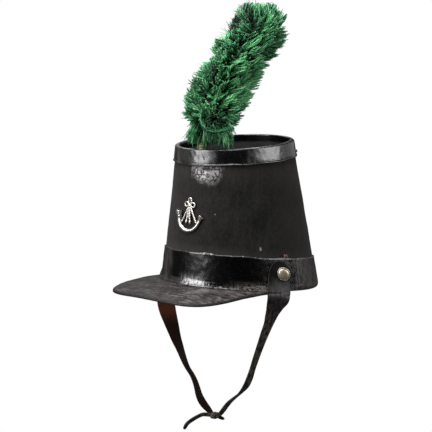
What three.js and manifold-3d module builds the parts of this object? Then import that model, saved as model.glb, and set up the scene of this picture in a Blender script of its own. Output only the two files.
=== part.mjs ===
// Shako: a tapered black felt crown with leather bands, a peak, a horn badge,
// a green wool plume and a two-piece leather chin strap knotted at its lowest point.
// Millimetres. +Z up, -Y is the front, +X is the wearer's left.
// The origin is the centre of the head opening, in the plane of the rim.
import * as THREE from "three";
import Module from "manifold-3d";

const wasm = await Module();
wasm.setup();

// ---------------------------------------------------------------- crown sizes
const RIM_HALF_LENGTH = 101.3; // front to back
const RIM_HALF_WIDTH = 85.2;
const TOP_HALF_LENGTH = 72.7;
const TOP_HALF_WIDTH = 62.2;
const TOP_FORWARD = 35.2; // the top sits this far in front of the rim's centre
const TOP_HEIGHT = 160.1; // height of the top edge above its centre
const TOP_TILT = THREE.MathUtils.degToRad(10.7); // the top slopes down to the front
const AROUND = 60; // facets round the crown

// Every skin is given by how far it stands out from the crown's nominal surface.
const FELT_OUTER = -0.7;
const FELT_INNER = -3.1;
const FELT_BOTTOM = 5.8; // the felt stops above the band that is rolled under it
const FELT_TOP_DROP = 1.7;
const BAND_OUTER = 0.9;
const BAND_INNER = -0.4;
const LOWER_BAND_TALL = 36.6;
const TOP_BAND_TALL = 17.8;
const TOP_BAND_TURNED_IN = 12;
const CROWN_TOP_DEPTH = 7; // the leather top is sunk this far below its rim
const CROWN_TOP_THICK = 2;
const CROWN_TOP_EDGE = -5.1;

// ---------------------------------------------------------------- peak sizes
const PEAK_HALF_ANGLE = THREE.MathUtils.degToRad(56);
const PEAK_THICK = 2.2;
const PEAK_END_HALF_WIDTH = 74.8;
const PEAK_FRONT_HALF_WIDTH = 70.4;
const PEAK_END_FORWARD = 58;
const PEAK_FRONT_FORWARD = 167.8;
const PEAK_SIDE_POWER = 4.9; // squareness of the outline towards its sides
const PEAK_FRONT_POWER = 4.3;
const PEAK_DROP_MIDDLE = 9.8;
const PEAK_DROP_CORNER = 12.2;
const FLARE_FULL = THREE.MathUtils.degToRad(60.1); // the band flares over the peak up to here
const FLARE_GONE = THREE.MathUtils.degToRad(65.9);

// ---------------------------------------------------------------- strap sizes
const STRAP_THICK = 1.5;
const TAB_TOP = 33.6;
const TAB_RADIUS = 15;
const TAB_ANGLE_HIGH = THREE.MathUtils.degToRad(69.2);
const TAB_ANGLE_RIM = THREE.MathUtils.degToRad(66.2);
const TAB_STANDS_OUT = 1.2;
const TAB_STANDS_OUT_AT_RIM = 4;
const BUTTON_ANGLE = THREE.MathUtils.degToRad(71.4);
const BUTTON_HEIGHT = 19.8;
const BUTTON_RADIUS = 8.2;
const BUTTON_DOME = 4.2;
const SHANK_RADIUS = 1.7;
const SHANK_HOLE_RADIUS = 2.3;

const clamp01 = (value) => Math.min(1, Math.max(0, value));
const smooth = (value) => clamp01(value) ** 2 * (3 - 2 * clamp01(value));

// ---------------------------------------------------------------- crown surface
// theta is measured from the front towards the wearer's left; share is 0 at the rim, 1 at the top.
function rimPoint(theta) {
  return new THREE.Vector3(RIM_HALF_WIDTH * Math.sin(theta), -RIM_HALF_LENGTH * Math.cos(theta), 0);
}

function topPoint(theta) {
  const along = TOP_HALF_LENGTH * Math.cos(theta);
  return new THREE.Vector3(
    TOP_HALF_WIDTH * Math.sin(theta),
    -TOP_FORWARD - along * Math.cos(TOP_TILT),
    TOP_HEIGHT - along * Math.sin(TOP_TILT),
  );
}

function outward(theta, share) {
  const halfLength = THREE.MathUtils.lerp(RIM_HALF_LENGTH, TOP_HALF_LENGTH, share);
  const halfWidth = THREE.MathUtils.lerp(RIM_HALF_WIDTH, TOP_HALF_WIDTH, share);
  return new THREE.Vector3(Math.sin(theta) / halfWidth, -Math.cos(theta) / halfLength, 0).normalize();
}

function wall(theta, share, out) {
  return rimPoint(theta).lerp(topPoint(theta), share).addScaledVector(outward(theta, share), out);
}

const shareAbove = (theta, rise) => rise / topPoint(theta).z;
const shareBelow = (theta, drop) => 1 - drop / topPoint(theta).z;

// ---------------------------------------------------------------- mesh building
function loft(rings, wrapped, capCentres) {
  // Joins closed rings of equal length; an unwrapped loft gets a fan over each end,
  // about the ring's own middle or about a given point.
  const size = rings[0].length;
  const positions = rings.flat().flatMap((p) => [p.x, p.y, p.z]);
  const index = [];
  const spans = wrapped ? rings.length : rings.length - 1;
  for (let i = 0; i < spans; i += 1) {
    const a = i * size;
    const b = ((i + 1) % rings.length) * size;
    for (let j = 0; j < size; j += 1) {
      const k = (j + 1) % size;
      index.push(a + j, a + k, b + k, a + j, b + k, b + j);
    }
  }
  if (!wrapped) {
    for (const [ring, turned] of [[0, true], [rings.length - 1, false]]) {
      const mean = new THREE.Vector3();
      rings[ring].forEach((p) => mean.addScaledVector(p, 1 / size));
      const middle = capCentres ? capCentres[turned ? 0 : 1] : mean;
      const centre = positions.length / 3;
      positions.push(middle.x, middle.y, middle.z);
      for (let j = 0; j < size; j += 1) {
        const here = ring * size + j;
        const next = ring * size + ((j + 1) % size);
        if (turned) index.push(centre, next, here);
        else index.push(centre, here, next);
      }
    }
  }
  const geometry = new THREE.BufferGeometry();
  geometry.setAttribute("position", new THREE.Float32BufferAttribute(positions, 3));
  geometry.setIndex(index);
  return facingOut(geometry);
}

function signedVolume(geometry) {
  const p = geometry.getAttribute("position");
  const index = geometry.getIndex();
  const corner = (n) => new THREE.Vector3().fromBufferAttribute(p, index.getX(n));
  let volume = 0;
  for (let n = 0; n < index.count; n += 3) volume += corner(n).dot(corner(n + 1).cross(corner(n + 2))) / 6;
  return volume;
}

function facingOut(geometry) {
  if (signedVolume(geometry) < 0) {
    const index = Array.from(geometry.getIndex().array);
    for (let n = 0; n < index.length; n += 3) [index[n + 1], index[n + 2]] = [index[n + 2], index[n + 1]];
    geometry.setIndex(index);
  }
  geometry.computeVertexNormals();
  return geometry;
}

function toManifold(geometry) {
  const mesh = new wasm.Mesh({
    numProp: 3,
    vertProperties: new Float32Array(geometry.getAttribute("position").array),
    triVerts: new Uint32Array(geometry.getIndex().array),
  });
  return new wasm.Manifold(mesh);
}

function fromManifold(manifold) {
  const mesh = manifold.getMesh();
  const geometry = new THREE.BufferGeometry();
  geometry.setAttribute("position", new THREE.Float32BufferAttribute(Array.from(mesh.vertProperties), 3));
  geometry.setIndex(Array.from(mesh.triVerts));
  return facingOut(geometry);
}

function piece(name, geometry, colour, roughness, metalness) {
  const material = new THREE.MeshStandardMaterial({ color: colour, roughness, metalness });
  const mesh = new THREE.Mesh(geometry, material);
  mesh.name = name;
  return mesh;
}

function roundCrown(section) {
  // section(theta) gives one closed loop of points at that angle.
  const rings = [];
  for (let i = 0; i < AROUND; i += 1) rings.push(section((2 * Math.PI * i) / AROUND));
  return loft(rings, true);
}

// ---------------------------------------------------------------- crown pieces
function crownBody() {
  return roundCrown((theta) => {
    const low = shareAbove(theta, FELT_BOTTOM);
    const high = shareBelow(theta, FELT_TOP_DROP);
    const shares = [low, (low + high) / 2, high];
    const outer = shares.map((share) => wall(theta, share, FELT_OUTER));
    const inner = shares.map((share) => wall(theta, share, FELT_INNER)).reverse();
    return [...outer, ...inner];
  });
}

// The lower band's section: rise above the rim and how far it stands out, where it is
// rolled under the rim, and where it flares over the root of the peak.
const ROLL_RADIUS = 6;
const LOWER_BAND_FLARE = [
  { rise: LOWER_BAND_TALL, out: BAND_OUTER },
  { rise: 20, out: BAND_OUTER },
  { rise: 7, out: 1.1 },
  { rise: 4, out: 1.9 },
  { rise: 1.8, out: 2.7 },
  { rise: 0.3, out: 3.3 },
  { rise: 0.3, out: 1.9 },
  { rise: 1.8, out: 1.3 },
  { rise: 4, out: 0.5 },
  { rise: 7, out: -0.2 },
  { rise: 20, out: BAND_INNER },
  { rise: LOWER_BAND_TALL, out: BAND_INNER },
];

function rolledSection() {
  const centre = BAND_OUTER - ROLL_RADIUS;
  const inside = ROLL_RADIUS - (BAND_OUTER - BAND_INNER);
  const arc = (radius, degrees) => {
    const angle = THREE.MathUtils.degToRad(degrees);
    return { rise: ROLL_RADIUS - radius * Math.sin(angle), out: centre + radius * Math.cos(angle) };
  };
  return [
    { rise: LOWER_BAND_TALL, out: BAND_OUTER },
    { rise: 20, out: BAND_OUTER },
    ...[0, 30, 60, 90].map((degrees) => arc(ROLL_RADIUS, degrees)),
    ...[90, 60, 30, 0].map((degrees) => arc(inside, degrees)),
    { rise: 20, out: BAND_INNER },
    { rise: LOWER_BAND_TALL, out: BAND_INNER },
  ];
}

function fromFront(theta) {
  return Math.abs(Math.atan2(Math.sin(theta), Math.cos(theta)));
}

function lowerBand() {
  const rolled = rolledSection();
  return roundCrown((theta) => {
    const flared = 1 - smooth((fromFront(theta) - FLARE_FULL) / (FLARE_GONE - FLARE_FULL));
    return rolled.map((point, i) => {
      const rise = THREE.MathUtils.lerp(point.rise, LOWER_BAND_FLARE[i].rise, flared);
      const out = THREE.MathUtils.lerp(point.out, LOWER_BAND_FLARE[i].out, flared);
      return wall(theta, shareAbove(theta, rise), out);
    });
  });
}

// The top band's section: it covers the felt's upper edge and is turned down inside it.
const TOP_BAND_SECTION = [
  { drop: TOP_BAND_TALL, out: BAND_OUTER },
  { drop: 9, out: BAND_OUTER },
  { drop: 1.1, out: BAND_OUTER },
  { drop: 0, out: -0.3 },
  { drop: 0, out: -3.5 },
  { drop: 1.1, out: -4.7 },
  { drop: TOP_BAND_TURNED_IN, out: -4.7 },
  { drop: TOP_BAND_TURNED_IN, out: -3.4 },
  { drop: 1.35, out: -3.4 },
  { drop: 1.35, out: BAND_INNER },
  { drop: 9, out: BAND_INNER },
  { drop: TOP_BAND_TALL, out: BAND_INNER },
];

function topBand() {
  return roundCrown((theta) =>
    TOP_BAND_SECTION.map(({ drop, out }) => wall(theta, shareBelow(theta, drop), out)),
  );
}

function crownTop() {
  const level = (drop) => {
    const ring = [];
    for (let i = 0; i < AROUND; i += 1) {
      const theta = (2 * Math.PI * i) / AROUND;
      ring.push(wall(theta, shareBelow(theta, drop), CROWN_TOP_EDGE));
    }
    return ring;
  };
  return loft([level(CROWN_TOP_DEPTH + CROWN_TOP_THICK), level(CROWN_TOP_DEPTH)], false);
}

function bandStud() {
  const profile = [
    { r: 0, up: 0 },
    { r: 1.9, up: 0 },
    { r: 1.7, up: 0.6 },
    { r: 1, up: 1.1 },
    { r: 0, up: 1.3 },
  ];
  const theta = THREE.MathUtils.degToRad(130);
  return onWall(turned(profile, 14), theta, shareBelow(theta, 13.5), BAND_OUTER + 0.35);
}

// ---------------------------------------------------------------- peak
function peakEdge(run) {
  // run goes from -1 at the wearer's right end to 1 at the left end.
  const side = Math.abs(run);
  const eased = side ** 2.4 / (side ** 2.4 + (1 - side) ** 2.15);
  const angle = (Math.PI / 2) * eased;
  const across = Math.sign(run) * Math.sin(angle) ** (2 / PEAK_SIDE_POWER);
  const forward = side === 1 ? 0 : Math.cos(angle) ** (2 / PEAK_FRONT_POWER);
  const halfWidth = THREE.MathUtils.lerp(PEAK_END_HALF_WIDTH, PEAK_FRONT_HALF_WIDTH, forward);
  const drop = THREE.MathUtils.lerp(PEAK_DROP_MIDDLE, PEAK_DROP_CORNER, across ** 2);
  return new THREE.Vector3(
    halfWidth * across,
    -THREE.MathUtils.lerp(PEAK_END_FORWARD, PEAK_FRONT_FORWARD, forward),
    -drop * forward ** 1.6 - 0.1,
  );
}

function peakSection(run) {
  const theta = PEAK_HALF_ANGLE * run;
  const at = (rise, out) => wall(theta, shareAbove(theta, rise), out);
  const lip = at(0, 3.4);
  const edge = peakEdge(run);
  const shares = [0, 0.16, 0.34, 0.54, 0.77, 1];
  const upper = shares.map((share) => {
    const p = lip.clone().lerp(edge, share);
    p.z = THREE.MathUtils.lerp(lip.z, edge.z, share ** 1.5);
    return p;
  });
  const lower = upper.map((p) => new THREE.Vector3(p.x, p.y, p.z - PEAK_THICK)).reverse();
  return [at(5.4, -0.9), at(0, -0.9), ...upper, ...lower, at(-PEAK_THICK, -2.9), at(5.4, -2.9)];
}

function peak() {
  const steps = 40;
  const rings = [];
  for (let i = 0; i <= steps; i += 1) rings.push(peakSection((2 * i) / steps - 1));
  const elbow = (theta) => wall(theta, shareAbove(theta, -PEAK_THICK / 2), -1.9);
  return loft(rings, false, [elbow(-PEAK_HALF_ANGLE), elbow(PEAK_HALF_ANGLE)]);
}

// ---------------------------------------------------------------- round parts
function turned(profile, sides) {
  const points = profile.map(({ r, up }) => new THREE.Vector2(r, up));
  const rings = points.slice(1, -1).map((p) => {
    const ring = [];
    for (let i = 0; i < sides; i += 1) {
      const angle = (2 * Math.PI * i) / sides;
      ring.push(new THREE.Vector3(p.x * Math.cos(angle), p.x * Math.sin(angle), p.y));
    }
    return ring;
  });
  return loft(rings, false);
}

function wallFrame(theta, share, out) {
  // A frame on the crown: its z axis stands straight out of the leaning wall.
  const step = 0.001;
  const up = wall(theta, share + step, out).sub(wall(theta, share - step, out)).normalize();
  const around = wall(theta + step, share, out).sub(wall(theta - step, share, out)).normalize();
  const out3 = around.clone().cross(up).normalize();
  const frame = new THREE.Matrix4().makeBasis(around, up, out3);
  return frame.setPosition(wall(theta, share, out));
}

function onWall(geometry, theta, share, out) {
  return facingOut(geometry.applyMatrix4(wallFrame(theta, share, out)));
}

const BUTTON_PROFILE = [
  { r: 0, up: -1.5 },
  { r: SHANK_RADIUS, up: -1.5 },
  { r: SHANK_RADIUS, up: 0.1 },
  { r: BUTTON_RADIUS - 0.3, up: 0.1 },
  { r: BUTTON_RADIUS, up: 0.7 },
  { r: BUTTON_RADIUS - 0.5, up: 1.5 },
  { r: 0.66 * BUTTON_RADIUS, up: 0.78 * BUTTON_DOME },
  { r: 0.34 * BUTTON_RADIUS, up: 0.95 * BUTTON_DOME },
  { r: 0, up: BUTTON_DOME },
];

function strapButton(side) {
  const theta = side * BUTTON_ANGLE;
  const out = TAB_STANDS_OUT + STRAP_THICK + 0.35;
  return onWall(turned(BUTTON_PROFILE, 24), theta, shareAbove(theta, BUTTON_HEIGHT), out);
}

// ---------------------------------------------------------------- chin strap
// The hanging part of each strap below the rim. turn and tip point its width, in degrees.
const LEFT_STRAP_ROWS = [
  { x: 79.6, y: -41.6, z: -6, width: 25.5, turn: 66, tip: -6 },
  { x: 76.6, y: -40.6, z: -11.5, width: 23.0, turn: 69, tip: -4 },
  { x: 73.0, y: -39.2, z: -18.8, width: 20.4, turn: 72, tip: -1 },
  { x: 70.2, y: -38.2, z: -26.9, width: 18.0, turn: 77, tip: 0 },
  { x: 67.2, y: -37.5, z: -35.2, width: 15.5, turn: 76, tip: -1 },
  { x: 63.9, y: -36.8, z: -43.5, width: 13.5, turn: 75, tip: -1 },
  { x: 57.7, y: -35.3, z: -60.2, width: 10.5, turn: 74, tip: -1 },
  { x: 51.9, y: -34.0, z: -77.1, width: 9.2, turn: 75, tip: -1 },
  { x: 46.8, y: -32.8, z: -93.9, width: 8.6, turn: 74, tip: -1 },
  { x: 44.2, y: -32.2, z: -102.3, width: 8.6, turn: 68, tip: -4 },
  { x: 40.0, y: -31.4, z: -111.5, width: 8.6, turn: 70, tip: -5 },
  { x: 32.5, y: -29.6, z: -121.0, width: 8.6, turn: 84, tip: 6 },
  { x: 24.5, y: -27.8, z: -127.9, width: 8.6, turn: 83, tip: 7 },
  { x: 16.5, y: -26.0, z: -134.9, width: 8.4, turn: 79, tip: 1 },
  { x: 10.5, y: -24.8, z: -142.1, width: 8.2, turn: 76, tip: -2 },
  { x: 5.2, y: -23.6, z: -149.2, width: 7.2, turn: 76, tip: -12 },
  { x: 0.8, y: -22.8, z: -154.0, width: 5.6, turn: 80, tip: -38 },
  { x: -4.0, y: -22.4, z: -156.8, width: 4.4, turn: 88, tip: -74 },
  { x: -10.0, y: -22.4, z: -157.2, width: 4.4, turn: 92, tip: -78 },
  { x: -14.6, y: -24.5, z: -157.3, width: 5.2, turn: 110, tip: -62 },
  { x: -18.9, y: -27.7, z: -157.6, width: 6.2, turn: 117, tip: -48 },
  { x: -22.6, y: -30.2, z: -159.8, width: 6.8, turn: 106, tip: -36 },
  { x: -27.9, y: -34.6, z: -164.4, width: 7.0, turn: 100, tip: -33 },
  { x: -32.6, y: -38.6, z: -169.8, width: 6.4, turn: 93, tip: -26 },
  { x: -35.0, y: -40.4, z: -176.2, width: 5.0, turn: 86, tip: -18 },
];

const RIGHT_STRAP_ROWS = [
  { x: -81.4, y: -41.0, z: -6, width: 29.0, turn: 109, tip: 1 },
  { x: -80.9, y: -40.6, z: -14, width: 28.0, turn: 98, tip: 2 },
  { x: -79.6, y: -39.9, z: -24, width: 26.0, turn: 84, tip: 4 },
  { x: -77.4, y: -39.2, z: -35, width: 23.5, turn: 72, tip: 8 },
  { x: -74.1, y: -38.7, z: -44.6, width: 20.5, turn: 63, tip: 13 },
  { x: -70.8, y: -37.8, z: -52.5, width: 18.3, turn: 61, tip: 16 },
  { x: -67.5, y: -36.8, z: -60.4, width: 16.4, turn: 60, tip: 17 },
  { x: -64.2, y: -35.9, z: -68.2, width: 14.4, turn: 62, tip: 17 },
  { x: -60.8, y: -34.9, z: -76.1, width: 12.6, turn: 66, tip: 18 },
  { x: -56.8, y: -33.8, z: -83.8, width: 10.8, turn: 70, tip: 17 },
  { x: -53.2, y: -32.7, z: -91.6, width: 9.6, turn: 78, tip: 13 },
  { x: -49.4, y: -31.6, z: -99.3, width: 9.0, turn: 86, tip: 10 },
  { x: -44.9, y: -30.3, z: -106.8, width: 9.0, turn: 97, tip: 6 },
  { x: -38.9, y: -28.6, z: -114.2, width: 9.0, turn: 98, tip: 6 },
  { x: -34.4, y: -27.3, z: -121.8, width: 9.0, turn: 92, tip: 7 },
  { x: -31.2, y: -26.2, z: -129.6, width: 9.0, turn: 84, tip: 9 },
  { x: -28.5, y: -24.9, z: -137.5, width: 9.0, turn: 73, tip: 18 },
  { x: -24.6, y: -22.6, z: -145.0, width: 9.0, turn: 66, tip: 34 },
  { x: -17.8, y: -19.8, z: -152.2, width: 7.2, turn: 73, tip: 50 },
  { x: -11.4, y: -18.7, z: -156.7, width: 4.4, turn: 85, tip: 76 },
  { x: -4.5, y: -18.6, z: -157.6, width: 4.4, turn: 88, tip: 78 },
  { x: -0.6, y: -17.4, z: -158.9, width: 4.2, turn: 95, tip: 62 },
  { x: 2.6, y: -14.6, z: -160.4, width: 2.6, turn: 105, tip: 42 },
];

const ACROSS = [-1, -0.5, 0, 0.5, 1];

function ribbonRing(outerPoints, innerPoints) {
  return [...outerPoints, ...innerPoints.reverse()];
}

function tabRing(side, rise) {
  // The tab lies on the band and follows its curve, with a round upper end.
  const down = TAB_TOP - rise;
  const half = down < TAB_RADIUS ? Math.sqrt(TAB_RADIUS ** 2 - (TAB_RADIUS - down) ** 2) : TAB_RADIUS;
  const middle = THREE.MathUtils.lerp(TAB_ANGLE_RIM, TAB_ANGLE_HIGH, clamp01(rise / 20));
  const reach = Math.hypot(RIM_HALF_WIDTH * Math.cos(middle), RIM_HALF_LENGTH * Math.sin(middle));
  const lift = THREE.MathUtils.lerp(TAB_STANDS_OUT_AT_RIM, TAB_STANDS_OUT, smooth(rise / 10));
  const row = (out) =>
    ACROSS.map((v) => {
      const theta = side * (middle + (v * half) / reach);
      return wall(theta, shareAbove(theta, rise), out);
    });
  return ribbonRing(row(lift + STRAP_THICK), row(lift));
}

function hangingRings(rows, side) {
  const first = tabRing(side, 0);
  const start = new THREE.Vector3();
  first.forEach((p) => start.addScaledVector(p, 1 / first.length));
  const rimTurn = side > 0 ? 64 : 116;
  const table = [{ x: start.x, y: start.y, z: 0, width: 2 * TAB_RADIUS, turn: rimTurn, tip: 0 }, ...rows];
  const places = table.map((r) => new THREE.Vector3(r.x, r.y, r.z));
  const path = new THREE.CatmullRomCurve3(places, false, "centripetal");
  const last = table.length - 1;
  const rings = [];
  for (let n = 1; n <= 2 * last; n += 1) {
    const at = n / 2;
    const low = Math.min(Math.floor(at), last - 1);
    const blend = (key) => THREE.MathUtils.lerp(table[low][key], table[low + 1][key], at - low);
    const turn = THREE.MathUtils.degToRad(blend("turn"));
    const tip = THREE.MathUtils.degToRad(blend("tip"));
    const along = path.getTangent(at / last);
    const level = Math.cos(tip);
    const width = new THREE.Vector3(Math.cos(turn) * level, Math.sin(turn) * level, Math.sin(tip));
    width.addScaledVector(along, -width.dot(along)).normalize();
    const outwards = width.clone().cross(along).multiplyScalar(-side).normalize();
    const centre = path.getPoint(at / last);
    const cup = 1.2 * (1 - smooth(n / 6));
    const row = (out) =>
      ACROSS.map((v) =>
        centre.clone()
          .addScaledVector(width, 0.5 * v * blend("width"))
          .addScaledVector(outwards, out - cup * (v * v - 0.4)),
      );
    rings.push(ribbonRing(row(STRAP_THICK / 2), row(-STRAP_THICK / 2)));
  }
  return rings;
}

function strap(rows, side) {
  const rises = [0.15, 1.2, 3.2, 6.2, 10, 15.5, 21, 25, 29].map((down) => TAB_TOP - down);
  const rings = [...rises.map((rise) => tabRing(side, rise)), tabRing(side, 0)];
  const body = loft([...rings, ...hangingRings(rows, side)], false);
  const theta = side * BUTTON_ANGLE;
  const hole = [
    { r: 0, up: -4 },
    { r: SHANK_HOLE_RADIUS, up: -4 },
    { r: SHANK_HOLE_RADIUS, up: 4 },
    { r: 0, up: 4 },
  ];
  const out = TAB_STANDS_OUT + STRAP_THICK / 2;
  const cutter = onWall(turned(hole, 16), theta, shareAbove(theta, BUTTON_HEIGHT), out);
  return fromManifold(toManifold(body).subtract(toManifold(cutter)));
}

// The wrap of the knot: a flat leather band closed round both straps.
const KNOT = { x: -7.2, y: -20.5, z: -157.1, length: 6.4, halfDeep: 4, halfTall: 3.5, wall: 1.4 };

function strapKnot() {
  const steps = 24;
  const rings = [];
  for (let i = 0; i < steps; i += 1) {
    const angle = (2 * Math.PI * i) / steps;
    const across = Math.sign(Math.cos(angle)) * Math.abs(Math.cos(angle)) ** 0.6;
    const upright = Math.sign(Math.sin(angle)) * Math.abs(Math.sin(angle)) ** 0.6;
    const at = (grow, along) => {
      const deep = across * (KNOT.halfDeep + grow);
      const tall = upright * (KNOT.halfTall + grow);
      return new THREE.Vector3(KNOT.x + along, KNOT.y + deep, KNOT.z + tall);
    };
    const half = KNOT.length / 2;
    rings.push([at(0, -half), at(0, half), at(KNOT.wall * 0.7, half), at(KNOT.wall, 0), at(KNOT.wall * 0.7, -half)]);
  }
  return loft(rings, true);
}

// ---------------------------------------------------------------- badge
// The badge is drawn flat: u to the wearer's left, v up from its middle, w off the felt.
const HORN_ROWS = [
  { u: -14.9, v: 3.9, r: 4.3 },
  { u: -14.6, v: 2.2, r: 4.2 },
  { u: -14.4, v: 0.0, r: 3.3 },
  { u: -14.2, v: -3.6, r: 2.8 },
  { u: -13.2, v: -8.6, r: 2.7 },
  { u: -10.2, v: -13.2, r: 2.5 },
  { u: -5.6, v: -16.0, r: 2.2 },
  { u: -0.6, v: -16.6, r: 1.9 },
  { u: 4.2, v: -15.4, r: 1.7 },
  { u: 8.6, v: -11.9, r: 1.6 },
  { u: 11.4, v: -7.6, r: 1.5 },
  { u: 13.2, v: -3.6, r: 1.6 },
  { u: 14.9, v: -1.0, r: 2.6 },
  { u: 15.6, v: -0.2, r: 3.1 },
];
const CORDS = [
  { name: "left", from: { u: -1.4, v: 9.8 }, to: { u: -10.6, v: -7.8 }, r: 1.1 },
  { name: "left middle", from: { u: -0.8, v: 9.8 }, to: { u: -3.8, v: -6.2 }, r: 1.15 },
  { name: "right middle", from: { u: 0.2, v: 9.8 }, to: { u: 1.0, v: -6.2 }, r: 1.15 },
  { name: "right", from: { u: 0.8, v: 9.8 }, to: { u: 9.4, v: -8.2 }, r: 1.1 },
];
const BOW_LOOPS = [
  { name: "top", u: -0.2, v: 15.4, wide: 2.0, tall: 3.3 },
  { name: "left", u: -4.7, v: 11.7, wide: 2.7, tall: 2.4 },
  { name: "right", u: 3.9, v: 11.2, wide: 2.7, tall: 2.4 },
];
const KNOBS = [
  { name: "left tassel", u: -3.9, v: -6.8, r: 1.35 },
  { name: "right tassel", u: 1.1, v: -6.8, r: 1.35 },
  { name: "bow knot", u: -0.4, v: 10.6, r: 1.9 },
];
const BADGE_HEIGHT = 75.2;
const BADGE_TURN = THREE.MathUtils.degToRad(-1.9);
const BADGE_STANDS_OFF = 0.4;
const BADGE_FLATNESS = 0.75;

function tube(points, radii, sides, wrapped) {
  const count = points.length;
  const rings = points.map((p, i) => {
    const before = points[wrapped ? (i + count - 1) % count : Math.max(i - 1, 0)];
    const after = points[wrapped ? (i + 1) % count : Math.min(i + 1, count - 1)];
    const along = after.clone().sub(before).normalize();
    const sidewards = new THREE.Vector3(-along.y, along.x, 0).normalize();
    const ring = [];
    for (let k = 0; k < sides; k += 1) {
      const angle = (2 * Math.PI * k) / sides;
      ring.push(
        p.clone()
          .addScaledVector(sidewards, radii[i] * Math.cos(angle))
          .add(new THREE.Vector3(0, 0, BADGE_FLATNESS * radii[i] * Math.sin(angle))),
      );
    }
    return ring;
  });
  return loft(rings, wrapped);
}

const flat = (u, v, r) => new THREE.Vector3(u, v, BADGE_FLATNESS * r);

function horn() {
  return tube(HORN_ROWS.map(({ u, v, r }) => flat(u, v, r)), HORN_ROWS.map(({ r }) => r), 10, false);
}

function badgeCord({ from, to, r }) {
  const points = [0, 0.5, 1].map((share) =>
    flat(THREE.MathUtils.lerp(from.u, to.u, share), THREE.MathUtils.lerp(from.v, to.v, share), r + 0.4),
  );
  return tube(points, [0.75 * r, r, r], 8, false);
}

function bowLoop({ u, v, wide, tall }) {
  const points = [];
  for (let i = 0; i < 14; i += 1) {
    const angle = (2 * Math.PI * i) / 14;
    points.push(flat(u + wide * Math.cos(angle), v + tall * Math.sin(angle), 1.5));
  }
  return tube(points, points.map(() => 0.95), 6, true);
}

function knob({ u, v, r }) {
  const rows = [-0.95, -0.5, 0, 0.5, 0.95];
  return tube(rows.map((s) => flat(u, v + r * s, 1.6)), rows.map((s) => r * Math.sqrt(1 - s * s)), 8, false);
}

function badge() {
  const solids = [horn(), ...CORDS.map(badgeCord), ...BOW_LOOPS.map(bowLoop), ...KNOBS.map(knob)];
  const joined = solids.map(toManifold).reduce((sum, next) => sum.add(next));
  const geometry = fromManifold(joined);
  const p = geometry.getAttribute("position");
  const reach = THREE.MathUtils.lerp(RIM_HALF_WIDTH, TOP_HALF_WIDTH, BADGE_HEIGHT / TOP_HEIGHT);
  for (let i = 0; i < p.count; i += 1) {
    const theta = BADGE_TURN + p.getX(i) / reach;
    const share = shareAbove(theta, BADGE_HEIGHT + p.getY(i));
    const bent = wall(theta, share, FELT_OUTER + BADGE_STANDS_OFF + p.getZ(i));
    p.setXYZ(i, bent.x, bent.y, bent.z);
  }
  return facingOut(geometry);
}

// ---------------------------------------------------------------- plume
// Centre and radius of the tuft at each height; it leans to the wearer's left and back.
const PLUME_ROWS = [
  { x: 6.0, y: -94.0, z: 158.2, r: 11.4 },
  { x: 7.4, y: -93.0, z: 160.5, r: 19.9 },
  { x: 8.2, y: -92.6, z: 165.5, r: 24.2 },
  { x: 8.2, y: -93.0, z: 173, r: 27.1 },
  { x: 8.2, y: -93.0, z: 182, r: 29.0 },
  { x: 8.8, y: -92.4, z: 192, r: 31.3 },
  { x: 11.2, y: -90.4, z: 203, r: 32.3 },
  { x: 14.4, y: -87.8, z: 215, r: 32.8 },
  { x: 17.4, y: -85.2, z: 227, r: 33.2 },
  { x: 21.2, y: -82.0, z: 237, r: 32.3 },
  { x: 26.6, y: -77.6, z: 247, r: 31.8 },
  { x: 32.0, y: -73.0, z: 258, r: 32.8 },
  { x: 36.2, y: -69.5, z: 269, r: 33.2 },
  { x: 38.0, y: -68.0, z: 280, r: 30.4 },
  { x: 38.4, y: -67.8, z: 290, r: 26.6 },
  { x: 38.4, y: -68.0, z: 298, r: 20.9 },
  { x: 38.4, y: -68.4, z: 303.5, r: 12.3 },
];

function plume() {
  const sides = 26;
  const rings = PLUME_ROWS.map(({ x, y, z, r }, row) => {
    const ring = [];
    for (let i = 0; i < sides; i += 1) {
      const angle = (2 * Math.PI * i) / sides;
      const tuft = 1 + 0.035 * Math.sin(5 * angle + 1.7 * row) + 0.02 * Math.sin(9 * angle - row);
      ring.push(new THREE.Vector3(x + r * tuft * Math.cos(angle), y + r * tuft * Math.sin(angle), z));
    }
    return ring;
  });
  return loft(rings, false);
}

// The wound stem stands on the crown's leather top, behind the front of the top band.
const STEM = { x: 1.2, y: -96.6, footRadius: 4.3, windings: 4 };

function plumeStem() {
  // The foot clears the sloping leather top at its higher, back edge.
  const behindFront = STEM.y + STEM.footRadius - topPoint(0).y;
  const low = topPoint(0).z - CROWN_TOP_DEPTH + Math.tan(TOP_TILT) * behindFront + 0.5;
  const high = PLUME_ROWS[0].z - 0.35;
  const profile = [{ r: 0, up: low }, { r: STEM.footRadius, up: low }];
  for (let n = 0; n < STEM.windings; n += 1) {
    const rise = (share) => THREE.MathUtils.lerp(low + 2, high - 0.4, (n + share) / STEM.windings);
    profile.push({ r: STEM.footRadius - 0.6, up: rise(0) }, { r: STEM.footRadius, up: rise(0.5) });
  }
  profile.push({ r: STEM.footRadius - 0.7, up: high }, { r: 0, up: high });
  return turned(profile, 18).translate(STEM.x, STEM.y, 0);
}

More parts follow.
